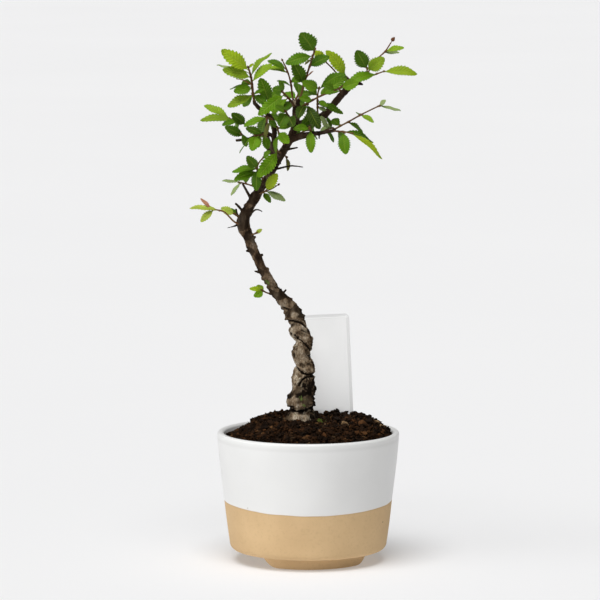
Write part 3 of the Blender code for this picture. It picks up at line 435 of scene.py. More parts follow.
# %% Make the glazed clay
def glazed_clay():
    result, nodes, links, shader = finish("white_glaze_on_tan_clay", 0.4)
    grain = add_grain(nodes, links, 32.0, 620.0)
    place = nodes.new("ShaderNodeTexCoord").outputs["Object"]
    parts = nodes.new("ShaderNodeSeparateXYZ")
    links.new(place, parts.inputs["Vector"])
    waver = calculate(nodes, links, "MULTIPLY_ADD", grain.outputs["Patches"], 0.7 * MM, -0.35 * MM)
    across = calculate(nodes, links, "SUBTRACT", parts.outputs["X"], POT_X)
    square = calculate(nodes, links, "MULTIPLY", across, across)
    sag = calculate(nodes, links, "MULTIPLY", square, -GLAZE_CURVE)
    height = calculate(nodes, links, "ADD", calculate(nodes, links, "ADD", parts.outputs["Z"], waver), sag)
    glazed = ramp(nodes, links, height, GLAZE_LINE - 0.12 * MM, GLAZE_LINE + 0.12 * MM, smooth=True)
    edge = ramp(nodes, links, height, GLAZE_LINE + 0.1 * MM, GLAZE_LINE + 1.0 * MM, 1.0, 0.0, smooth=True)
    clay = blend(nodes, links, grain.outputs["Patches"], (0.60, 0.41, 0.215), (0.69, 0.485, 0.262))
    dust = ramp(nodes, links, grain.outputs["Grain"], 0.6, 1.0, 0.0, 0.22)
    clay = blend(nodes, links, dust, clay, (0.48, 0.32, 0.17))
    seam = ramp(nodes, links, height, GLAZE_LINE - 0.9 * MM, GLAZE_LINE, 0.0, 0.45, smooth=True)
    clay = blend(nodes, links, seam, clay, (0.44, 0.27, 0.13))
    specks = nodes.new("ShaderNodeTexVoronoi")
    specks.inputs["Scale"].default_value = 210.0
    links.new(place, specks.inputs["Vector"])
    shade = nodes.new("ShaderNodeSeparateColor")
    links.new(specks.outputs["Color"], shade.inputs["Color"])
    rare = ramp(nodes, links, shade.outputs["Red"], 0.975, 0.98)
    small = ramp(nodes, links, specks.outputs["Distance"], 0.05, 0.13, 1.0, 0.0)
    spot = calculate(nodes, links, "MULTIPLY", rare, small)
    clay = blend(nodes, links, spot, clay, (0.16, 0.09, 0.05))
    white = blend(nodes, links, grain.outputs["Patches"], (0.775, 0.775, 0.765), (0.81, 0.81, 0.80))
    # Painted shade: a thin grey band just under the rounded rim.
    below_lip = ramp(nodes, links, parts.outputs["Z"], 72.6 * MM, 74.6 * MM, smooth=True)
    above_lip = ramp(nodes, links, parts.outputs["Z"], 74.6 * MM, 76.4 * MM, 1.0, 0.0, smooth=True)
    painted_rim_shade = calculate(nodes, links, "MULTIPLY", calculate(nodes, links, "MULTIPLY", below_lip, above_lip), 0.22)
    white = blend(nodes, links, painted_rim_shade, white, (0.55, 0.55, 0.53))
    white = blend(nodes, links, calculate(nodes, links, "MULTIPLY", edge, 0.35), white, (0.80, 0.74, 0.65))
    white = blend(nodes, links, calculate(nodes, links, "MULTIPLY", spot, 0.5), white, (0.35, 0.28, 0.22))
    links.new(blend(nodes, links, glazed, clay, white), shader.inputs["Base Color"])
    links.new(ramp(nodes, links, glazed, 0.0, 1.0, 0.82, 0.34), shader.inputs["Roughness"])
    shader.inputs["Specular IOR Level"].default_value = 0.4
    dry = calculate(nodes, links, "SUBTRACT", 1.0, glazed)
    grit = calculate(nodes, links, "MULTIPLY", grain.outputs["Grain"], dry)
    relief(nodes, links, shader, (glazed, 0.8, 0.12 * MM), (grit, 0.55, 0.12 * MM),
           (grain.outputs["Patches"], 0.12, 0.5 * MM))
    return result


pot.data.materials.append(glazed_clay())
print("glaze ends at", round(GLAZE_LINE / MM, 1), "mm")

# %% [markdown]
# ## The drainage mesh
# Under the soil, a square of plastic net keeps the crumbs in and lets the water out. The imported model's
# net is already right in shape, because a net is only bars and holes, so it stays and gets a finish.

# %% Finish the net
def net_plastic():
    result, nodes, links, shader = finish("dark_net_plastic", 0.5)
    grain = add_grain(nodes, links, 140.0, 1500.0)
    color = blend(nodes, links, grain.outputs["Patches"], (0.012, 0.013, 0.013), (0.03, 0.032, 0.03))
    links.new(color, shader.inputs["Base Color"])
    links.new(ramp(nodes, links, grain.outputs["Grain"], 0.0, 1.0, 0.42, 0.6), shader.inputs["Roughness"])
    relief(nodes, links, shader, (grain.outputs["Grain"], 0.4, 0.08 * MM))
    return result


def coat_node(name, material):
    """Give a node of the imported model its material."""
    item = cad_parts[name]
    item.data.materials.clear()
    item.data.materials.append(material)


coat_node("drainage_mesh", net_plastic())

# %% [markdown]
# ## The blank plant label
# A nursery sticks a plastic label into the soil, and here it is blank and frosted, with a faint embossed
# line inside its border. A cube is flattened to a plate, its four corners are bevelled round, and its
# big faces are inset four times, so that the line stands up. The border outside the line is marked,
# because it is a little duller. Last, the plate is leaned a little, as the label leans in the soil.
# Light comes through frosted plastic, so its finish is partly clear, and it glows faintly, which is a
# painted glow for the light that comes through it.

# %% Shape the label
LABEL_SIZE = Vector((32.0, 1.0, 80.0)) * MM
LABEL_TOP = (8.7, 149.3, 19.0)
LABEL_TILT = radians(2.6)
LABEL_CORNER = 3.0 * MM
LABEL_BORDER = 1.7 * MM
LINE_SLOPE, LINE_HEIGHT, LINE_WIDTH = 0.25 * MM, 0.12 * MM, 0.5 * MM
SIGHT = 0.1157


def placed(x, seen_height, depth):
    """A point from its place across, its height as seen from the front, and its depth, all in mm."""
    return Vector((x + POT_X / MM, depth, seen_height - SIGHT * depth)) * MM


def shape_label():
    bpy.ops.mesh.primitive_cube_add(size=1.0)
    label = bpy.context.object
    label.scale = LABEL_SIZE
    bpy.ops.object.transform_apply(location=False, rotation=False, scale=True)
    bpy.ops.object.mode_set(mode="EDIT")
    pick(label, "EDGE", lambda edge: abs((edge.verts[0].co - edge.verts[1].co).y) > 0.5 * MM)
    bpy.ops.mesh.bevel(offset=LABEL_CORNER, segments=8)
    for side in (-1.0, 1.0):
        pick(label, "FACE", lambda face: face.normal.y * side > 0.9)
        bpy.ops.mesh.inset(thickness=LABEL_BORDER)
        bpy.ops.mesh.inset(thickness=LINE_SLOPE, depth=LINE_HEIGHT)
        bpy.ops.mesh.inset(thickness=LINE_WIDTH)
        bpy.ops.mesh.inset(thickness=LINE_SLOPE, depth=-LINE_HEIGHT)
    bpy.ops.object.mode_set(mode="OBJECT")
    soft = label.modifiers.new("soft_edges", "BEVEL")
    soft.width = 0.18 * MM
    soft.segments = 2
    soft.angle_limit = radians(50)
    apply_all(label)
    inwards = 0.5 * np.array(LABEL_SIZE) - np.abs(corners(label))
    tag(label, "rim", (np.minimum(inwards[:, 0], inwards[:, 2]) < LABEL_BORDER + 0.1 * MM).astype(float))
    turn = Matrix.Rotation(-LABEL_TILT, 4, "Y")
    hang = Matrix.Translation((0.0, 0.0, -0.5 * LABEL_SIZE.z))
    label.data.transform(Matrix.Translation(placed(*LABEL_TOP)) @ turn @ hang)
    return settle(label, "frosted_plant_label", 12)


def frosted_plastic():
    result, nodes, links, shader = finish("frosted_plastic", 0.45)
    grain = add_grain(nodes, links, 45.0, 1900.0)
    color = blend(nodes, links, grain.outputs["Patches"], (0.815, 0.815, 0.81), (0.84, 0.84, 0.835))
    color = blend(nodes, links, read_tag(nodes, "rim"), color, (0.67, 0.67, 0.665))
    links.new(color, shader.inputs["Base Color"])
    links.new(ramp(nodes, links, grain.outputs["Patches"], 0.0, 1.0, 0.38, 0.55), shader.inputs["Roughness"])
    relief(nodes, links, shader, (grain.outputs["Grain"], 0.25, 0.05 * MM))
    shader.inputs["Alpha"].default_value = 0.8
    # Painted glow: a faint white emission stands in for the light that comes through the plastic.
    shader.inputs["Emission Color"].default_value = (1.0, 1.0, 1.0, 1.0)
    shader.inputs["Emission Strength"].default_value = 0.2
    return result


label = shape_label()
label.data.materials.append(frosted_plastic())
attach(label, "root")
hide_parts("plant_label")
low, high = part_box("plant_label")
gaps = [(Vector(low) - Vector(corners(label).min(axis=0))).length,
        (Vector(high) - Vector(corners(label).max(axis=0))).length]
print("label differs from its node by at most", round(max(gaps) / MM, 2), "mm")

# %% [markdown]
# ## The soil
# Potting mix is a heap of separate crumbs: bark, clay grains and a few pale bits. The heap itself is
# spun up as a plain mound first, with rings inset in a cylinder's top. It closes the view between the
# crumbs and is what they sit in.

# %% Shape the mound
SOIL_REACH = 50.75
SOIL_EDGE = 75.0
SOIL_EDGE_RIGHT = 1.2
SOIL_RISE = 11.8
SOIL_SHOULDER = 0.5
SOIL_STEEPNESS = 6
SOIL_TILT = 0.07
SOIL_TILT_FROM = 20.0
CRUMB = 0.9
MOUND_TAPER = 0.76
MOUND_RINGS = 30
MOUND_STEP = 1.62 * MM
MOUND_SINK = 0.8


def crumb_waves(x, y):
    """Uneven little heaps, in mm from the pot's centre line."""
    first = sin(0.83 * x + 0.37 * y + 1.0) * cos(0.71 * y - 0.29 * x)
    second = sin(1.57 * x - 1.13 * y + 2.0) * sin(1.31 * y + 0.67 * x + 0.5)
    return 0.55 * first + 0.45 * second


def soil_height(x, y):
    """The mound's top in mm: it falls gently to the left and the front, and steeply at the right."""
    reach = min(1.0, (x * x + y * y) ** 0.5 / SOIL_REACH)
    inwards = min(1.0, (1.0 - reach) / SOIL_SHOULDER)
    gentle = inwards * inwards * (3.0 - 2.0 * inwards)
    steep = 1.0 - reach ** SOIL_STEEPNESS
    right = 0.5 + 0.5 * x / SOIL_REACH
    mound = SOIL_EDGE_RIGHT * right + SOIL_RISE * (right * steep + (1.0 - right) * gentle)
    tilt = SOIL_TILT * min(0.0, y - SOIL_TILT_FROM) * (1.0 - reach * reach)
    return SOIL_EDGE + mound + tilt + CRUMB * crumb_waves(x, y)


def shape_mound():
    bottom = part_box("soil")[0].z
    bpy.ops.mesh.primitive_cylinder_add(vertices=96, radius=SOIL_REACH * MM, depth=SOIL_EDGE * MM - bottom,
                                        location=(POT_X, 0.0, 0.5 * (SOIL_EDGE * MM + bottom)))
    mound = bpy.context.object
    bpy.ops.object.transform_apply(location=True, rotation=False, scale=False)
    bpy.ops.object.mode_set(mode="EDIT")
    pick(mound, "FACE", lambda face: face.normal.z < -0.9)
    bpy.ops.transform.resize(value=(MOUND_TAPER, MOUND_TAPER, 1.0), center_override=(POT_X, 0.0, 0.0))
    pick(mound, "FACE", lambda face: face.normal.z > 0.9)
    for ring in range(MOUND_RINGS):
        bpy.ops.mesh.inset(thickness=MOUND_STEP)
    bpy.ops.mesh.poke()
    bpy.ops.object.mode_set(mode="OBJECT")
    points = corners(mound)
    for row in points:
        if row[2] > (SOIL_EDGE - 0.5) * MM:
            row[2] = (soil_height((row[0] - POT_X) / MM, row[1] / MM) - MOUND_SINK) * MM
    move_corners(mound, points)
    return settle(mound, "soil_mound", 60)


mound = shape_mound()
print("mound faces:", len(mound.data.polygons))

# %% [markdown]
# ## Crumbs on the mound
# A few crumbs are modelled, each an icosphere squashed and knocked out of round, and then copied by the
# thousand, because a heap of real mix repeats the same few kinds. Every copy is turned, scaled and sunk
# halfway into the mound. Each one also carries a tone, so that a single material can make most crumbs
# nearly black and a few of them reddish or tan.

# %% Model the crumbs and scatter them
DARK_LUCK = 0.78
PALE_LUCK = 0.975


def rough_crumb(number, detail, stretch, knocks):
    """One crumb about a unit across, off round in its own way."""
    let_go()
    bpy.ops.mesh.primitive_ico_sphere_add(subdivisions=detail, radius=1.0)
    crumb = bpy.context.object
    bpy.ops.object.mode_set(mode="EDIT")
    bpy.ops.transform.resize(value=stretch, center_override=(0.0, 0.0, 0.0))
    bpy.ops.object.mode_set(mode="OBJECT")
    points = corners(crumb)
    for row in points:
        row *= 1.0 + knocks * noise.noise(Vector(row) * 2.3 + Vector((7.3 * number, 2.1, 0.4)))
    faces = [tuple(face.vertices) for face in crumb.data.polygons]
    bpy.data.objects.remove(crumb, do_unlink=True)
    return points, faces


def lay_copies(name, shapes, places, marks=("tone",)):
    """Many copies as one mesh: each place is (shape number, matrix, values of the marks)."""
    points, faces, values, used = [], [], [], 0
    for kind, matrix, tones in places:
        rows, sides = shapes[kind]
        grid = np.array(matrix)
        points.append(rows @ grid[:3, :3].T + grid[:3, 3])
        faces += [tuple(index + used for index in side) for side in sides]
        values += [tones] * len(rows)
        used += len(rows)
    mesh = bpy.data.meshes.new(name)
    mesh.from_pydata(np.concatenate(points), [], faces)
    item = bpy.data.objects.new(name, mesh)
    bpy.context.collection.objects.link(item)
    for column, mark in enumerate(marks):
        tag(item, mark, np.array(values)[:, column])
    return settle(item, name, 45)


def on_mound(x, y, sink=0.0):
    """A point on the mound, from mm across and back from the pot's centre line."""
    return Vector((POT_X + x * MM, y * MM, (soil_height(x, y) - MOUND_SINK - sink) * MM))


def heap(dice, count, smallest, largest, kinds, reach):
    """Places for crumbs, spread evenly over the mound."""
    places = []
    for number in range(count):
        size = smallest + (largest - smallest) * dice.random() ** 3.0
        out = (reach - size) * dice.random() ** 0.5
        way = dice.uniform(0.0, 2.0 * pi)
        spot = on_mound(out * cos(way), out * sin(way), -0.25 * size + dice.uniform(-0.5, 0.3) * size)
        turn = Matrix.Rotation(dice.uniform(0.0, 6.3), 4, "Z")
        for axis in ("X", "Y"):
            turn = turn @ Matrix.Rotation(dice.uniform(-0.7, 0.7), 4, axis)
        luck = dice.random()
        tone = 0.3 * dice.random() if luck < DARK_LUCK else dice.uniform(0.33, 0.66)
        if luck > PALE_LUCK:
            tone = dice.uniform(0.8, 1.0)
        kind = dice.randrange(kinds)
        places.append((kind, Matrix.Translation(spot) @ turn @ Matrix.Scale(size * MM, 4), (tone,)))
    return places


CRUMBS = [rough_crumb(0, 2, (1.0, 0.85, 0.75), 1.0), rough_crumb(1, 2, (1.0, 0.7, 0.8), 1.1),
          rough_crumb(2, 2, (1.2, 0.75, 0.6), 1.0), rough_crumb(3, 2, (1.0, 0.95, 0.6), 1.2),
          rough_crumb(4, 2, (1.4, 0.6, 0.4), 0.8)]
GRIT = [rough_crumb(5, 1, (1.0, 0.8, 0.7), 1.0), rough_crumb(6, 1, (1.2, 0.7, 0.5), 0.9),
        rough_crumb(7, 1, (2.0, 0.4, 0.3), 0.6)]
coarse = lay_copies("soil_crumbs", CRUMBS, heap(random.Random(3), 1900, 0.8, 2.0, 5, SOIL_REACH))
fine = lay_copies("soil_grit", GRIT, heap(random.Random(8), 4600, 0.4, 1.0, 3, SOIL_REACH))
print("crumb faces:", len(coarse.data.polygons), " grit faces:", len(fine.data.polygons))

# %% [markdown]
# ## Soil finish
# Moist mix is very dark, with a little sheen where it is wet. The tone that each crumb carries picks its
# colour from a ramp. The shared grain roughens it, its patches darken whole clumps, and a few green
# sprouts show beside the trunk.

# %% Finish the soil
SPROUT_SPOT = (8.5, -6.0)


def damp_soil(name, by_crumb):
    result, nodes, links, shader = finish(name, 0.85)
    grain = add_grain(nodes, links, 185.0, 1500.0)
    tones = nodes.new("ShaderNodeValToRGB")
    stops = tones.color_ramp.elements
    stops[0].color = (0.006, 0.0035, 0.0018, 1.0)
    stops[1].position = 0.3
    stops[1].color = (0.050, 0.021, 0.0075, 1.0)
    for position, color in ((0.5, (0.105, 0.043, 0.015, 1.0)), (0.75, (0.16, 0.078, 0.03, 1.0)),
                            (0.85, (0.24, 0.14, 0.065, 1.0)), (1.0, (0.38, 0.25, 0.13, 1.0))):
        stops.new(position).color = color
    if by_crumb:
        links.new(read_tag(nodes, "tone"), tones.inputs["Fac"])
    else:
        links.new(ramp(nodes, links, grain.outputs["Patches"], 0.0, 1.0, 0.0, 0.3), tones.inputs["Fac"])
    shade = ramp(nodes, links, grain.outputs["Grain"], 0.0, 1.0, 0.0, 0.55)
    color = blend(nodes, links, shade, tones.outputs["Color"], (0.010, 0.005, 0.003))
    clumps = ramp(nodes, links, grain.outputs["Patches"], 0.32, 0.56, 0.8, 0.0, smooth=True)
    color = blend(nodes, links, clumps, color, (0.007, 0.0035, 0.0015))
    middle = nodes.new("ShaderNodeVectorMath")
    middle.operation = "DISTANCE"
    links.new(nodes.new("ShaderNodeTexCoord").outputs["Object"], middle.inputs[0])
    middle.inputs[1].default_value = Vector(on_mound(*SPROUT_SPOT))
    sprouts = ramp(nodes, links, middle.outputs["Value"], 2.0 * MM, 9.0 * MM, 1.0, 0.0)
    sprouts = calculate(nodes, links, "MULTIPLY", sprouts, grain.outputs["Patches"])
    sprouts = ramp(nodes, links, sprouts, 0.5, 0.62, 0.0, 0.75)
    links.new(blend(nodes, links, sprouts, color, (0.075, 0.11, 0.02)), shader.inputs["Base Color"])
    links.new(ramp(nodes, links, grain.outputs["Patches"], 0.0, 1.0, 0.62, 0.95), shader.inputs["Roughness"])
    shader.inputs["Specular IOR Level"].default_value = 0.07
    relief(nodes, links, shader, (grain.outputs["Grain"], 0.7, 0.25 * MM))
    return result


mound.data.materials.append(damp_soil("damp_soil_bed", False))
crumb_finish = damp_soil("damp_soil_crumbs", True)
for piece in (coarse, fine):
    piece.data.materials.append(crumb_finish)
for piece in (mound, coarse, fine):
    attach(piece, "root")
    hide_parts("soil")
print("soil pieces:", mound.name, coarse.name, fine.name)

# %% [markdown]
# ## Rods for everything woody
# Trunk, branches, stubs and green stems all start the same way, as a smooth line with a radius at each
# point. A curve with a round bevel does exactly that, and its radius can change along the way. Converted
# to a mesh, its ends are closed, so it is a solid that can be joined and remeshed.

# %% Helper for rods
def smooth_line(rows, steps):
    """Points through the given rows, on a Catmull-Rom curve, with any extra columns smoothed too."""
    rows = np.array(rows, dtype=float)
    padded = np.vstack([2 * rows[0] - rows[1], rows, 2 * rows[-1] - rows[-2]])
    result = []
    for first, second, third, fourth in zip(padded, padded[1:], padded[2:], padded[3:]):
        for step in range(steps):
            t = step / steps
            result.append(0.5 * (2 * second + (third - first) * t
                                 + (2 * first - 5 * second + 4 * third - fourth) * t * t
                                 + (3 * second - first - 3 * third + fourth) * t * t * t))
    result.append(rows[-1])
    return np.array(result)


def rod(name, rows, resolution=2):
    """A closed round rod through rows of x, y, z and radius, all in metres."""
    line = bpy.data.curves.new(name, "CURVE")
    line.dimensions = "3D"
    line.bevel_depth = 1.0
    line.bevel_resolution = resolution
    line.use_fill_caps = True
    spline = line.splines.new("POLY")
    spline.points.add(len(rows) - 1)
    for point, row in zip(spline.points, rows):
        point.co = (row[0], row[1], row[2], 1.0)
        point.radius = max(row[3], 0.05 * MM)
    item = bpy.data.objects.new(name, line)
    bpy.context.collection.objects.link(item)
    take(item)
    bpy.ops.object.convert(target="MESH")
    return bpy.context.object


# %% [markdown]
# ## The lines of the tree
# These are the lines that the imported model's wood and stems are built on, in millimetres: the place
# across from the pot's centre line, the height as seen from the front, the depth, and the radius. The
# leaves follow with the shoots: the place along their stem, the tip's place, a turn, a width for their
# length, and a tone.

# %% Lines of the trunk, the branches and the stubs
# Leaf tones. DEEP_SHADE is painted shade: a near-black green for leaves that sit deep inside the crown. DARK,
# MID, BRIGHT and LIGHT run from shaded to lit leaves, partly each leaf's own green and partly painted light
# and shade. YOUNG, PALE, GREY, BROWN, RED and PINK are young, pale, underside, brownish and reddish leaves.
DEEP_SHADE = (0.028, 0.065, 0.001)
DARK = (0.060, 0.150, 0.001)
MID = (0.098, 0.225, 0.002)
BRIGHT = (0.145, 0.300, 0.004)
LIGHT = (0.250, 0.395, 0.020)
YOUNG = (0.350, 0.470, 0.015)
PALE = (0.480, 0.570, 0.090)
GREY = (0.240, 0.330, 0.120)
BROWN = (0.170, 0.150, 0.040)
RED = (0.340, 0.090, 0.050)
PINK = (0.560, 0.220, 0.160)


TRUNK = [
    (-4.0, 58.0, 5.0), (-4.0, 66.0, 6.6), (-4.0, 76.0, 8.0), (-4.0, 82.0, 8.6), (-4.2, 85.5, 8.7),
    (-4.3, 88.3, 8.1), (-4.2, 90.9, 6.2), (-4.4, 93.0, 7.6), (-4.6, 95.6, 8.3), (-4.4, 98.0, 8.0),
    (-3.6, 100.6, 7.3), (-3.0, 104.0, 6.9), (-3.1, 109.2, 6.6), (-2.6, 113.8, 5.9),
    (-2.0, 117.6, 5.2), (-3.2, 121.2, 4.6), (-4.5, 124.2, 4.9), (-3.7, 127.4, 5.1),
    (-2.9, 130.0, 5.0), (-2.3, 133.0, 4.8), (-3.6, 136.5, 4.9), (-5.8, 139.5, 5.0),
    (-6.1, 142.4, 4.5), (-7.2, 146.0, 4.7), (-9.2, 150.6, 5.0), (-11.2, 153.8, 4.0),
    (-14.4, 157.6, 3.6), (-18.2, 161.5, 3.3), (-21.2, 165.4, 3.1), (-23.6, 170.0, 3.1),
    (-27.4, 176.2, 2.8), (-30.3, 182.7, 2.8), (-33.5, 189.3, 3.0), (-35.9, 195.8, 3.3),
    (-38.6, 201.0, 3.6), (-39.2, 206.0, 3.6), (-37.6, 210.6, 3.3), (-34.6, 215.4, 3.1),
    (-31.6, 220.6, 3.0), (-28.6, 226.0, 2.6), (-25.0, 231.0, 2.3), (-22.4, 235.4, 2.2),
    (-19.4, 240.6, 2.3), (-16.2, 245.8, 2.4), (-13.2, 251.0, 2.5), (-10.4, 256.2, 2.5),
    (-8.4, 261.6, 2.4), (-7.5, 267.0, 2.4), (-7.2, 272.5, 2.4), (-7.4, 278.5, 2.3),
]


BRANCHES = {
    "right_upper": [(-7.6, 262.5, 2, 2.5), (-1.5, 264.8, 3, 2.4), (4.5, 266.8, 4.5, 2.4),
                    (9.5, 269.8, 6, 2.2), (13.5, 274, 7, 2.1), (17.5, 279, 8, 2.1),
                    (21.5, 283.8, 9, 2.0), (25.5, 287.5, 10, 1.9), (29, 289.2, 11, 1.4),
                    (32.8, 288.3, 12, 0.6)],
    "right_lower": [(-11.8, 253.6, 1, 2.1), (-7, 256.2, -1.5, 2.1), (-2, 257.2, -3.5, 1.9),
                    (3, 258, -5, 1.6), (8, 258.6, -6.3, 1.3), (14.4, 259.7, -8, 1.1)],
    "left": [(-16.8, 245, 1.5, 1.9), (-19.6, 247.8, -1.5, 1.7), (-20.7, 253.5, -4, 1.6),
             (-20.4, 260, -6, 1.5), (-21.4, 266, -8, 1.4), (-25, 270.2, -9.5, 1.3),
             (-29.5, 273.2, -10.5, 1.3), (-32.2, 276.2, -11, 1.2)],
    "left_fork": [(-18.6, 246.8, -0.5, 1.3), (-22.4, 246.4, 1.5, 1.2), (-25.2, 251, 3.5, 0.8)],
    "left_lower": [(-20.6, 256.5, -5, 1.3), (-25.6, 258.4, -1.5, 1.1), (-31, 257.2, 2, 1.0),
                   (-36.6, 255.2, 4, 0.8), (-43.4, 254.4, 6, 0.9)],
    "back": [(-10.4, 256.4, 1, 1.9), (-8.2, 262, 8, 1.6), (-7.4, 267.5, 15, 1.4),
             (-8, 272, 21, 1.2)],
    "back_left": [(-18.4, 242.6, 1.5, 1.8), (-21.6, 249, 8, 1.5), (-24.4, 256, 15, 1.3),
                  (-25.4, 263.5, 21, 1.1)],
}


STUBS = [
    ([(-39.0, 211, 2), (-41.6, 214.4, 1), (-43.8, 216.5, 0)], 1.0, 0.7),
    ([(-39.0, 206.5, 2), (-42.4, 208.8, 4.5), (-43.5, 213.4, 5.5)], 1.0, 0.7),
    ([(-33.4, 217.5, 2), (-36, 222, 0), (-39.4, 228.3, -2)], 1.1, 0.7),
    ([(-29.2, 225.4, 1), (-26.6, 225.2, -2), (-24.4, 227.2, -3)], 0.8, 0.5),
    ([(-21.6, 236.6, 1), (-17, 237.5, -1.5), (-10, 238.9, -3), (-3, 238, -4)], 0.9, 0.4),
    ([(-13.6, 248.8, 1), (-10, 249.2, -2), (-6.2, 249.9, -3)], 0.9, 0.5),
    ([(-18.4, 241.5, 1), (-16.6, 240.2, -2)], 0.8, 0.7),
    ([(-33.6, 195.2, 2), (-31.6, 196.4, 3)], 1.2, 0.8),
    ([(-36.4, 210.6, 2), (-33.8, 210.8, -1), (-32.0, 212.4, -2), (-29.6, 212.4, -3),
      (-27.5, 211.2, -4)], 0.85, 0.4),
    ([(-41.0, 204.6, 2), (-44.0, 202.8, 1), (-48.8, 201.6, 0)], 0.6, 0.3),
    ([(-34.6, 187.4, 2), (-37.4, 187.8, 1)], 0.9, 0.6),
    ([(-29.8, 184.4, 2), (-27.2, 185.6, 1)], 1.2, 0.8),
    ([(-28.4, 174.6, 2), (-32.4, 175.6, 1)], 1.1, 0.5),
    ([(-16.8, 160.6, 2), (-13.2, 164.4, 1)], 0.8, 0.6),
    ([(-9.6, 151.2, 2), (-3.9, 151.8, 0)], 1.2, 0.5),
    ([(6.4, 258.4, -6), (6.5, 254.8, -7)], 0.7, 0.5),
    ([(-24.6, 270, -9.4), (-24.4, 267.6, -12)], 1.1, 0.9),
    ([(-4.6, 100.4, -2), (-11.8, 100.4, -3)], 1.6, 1.0),
]


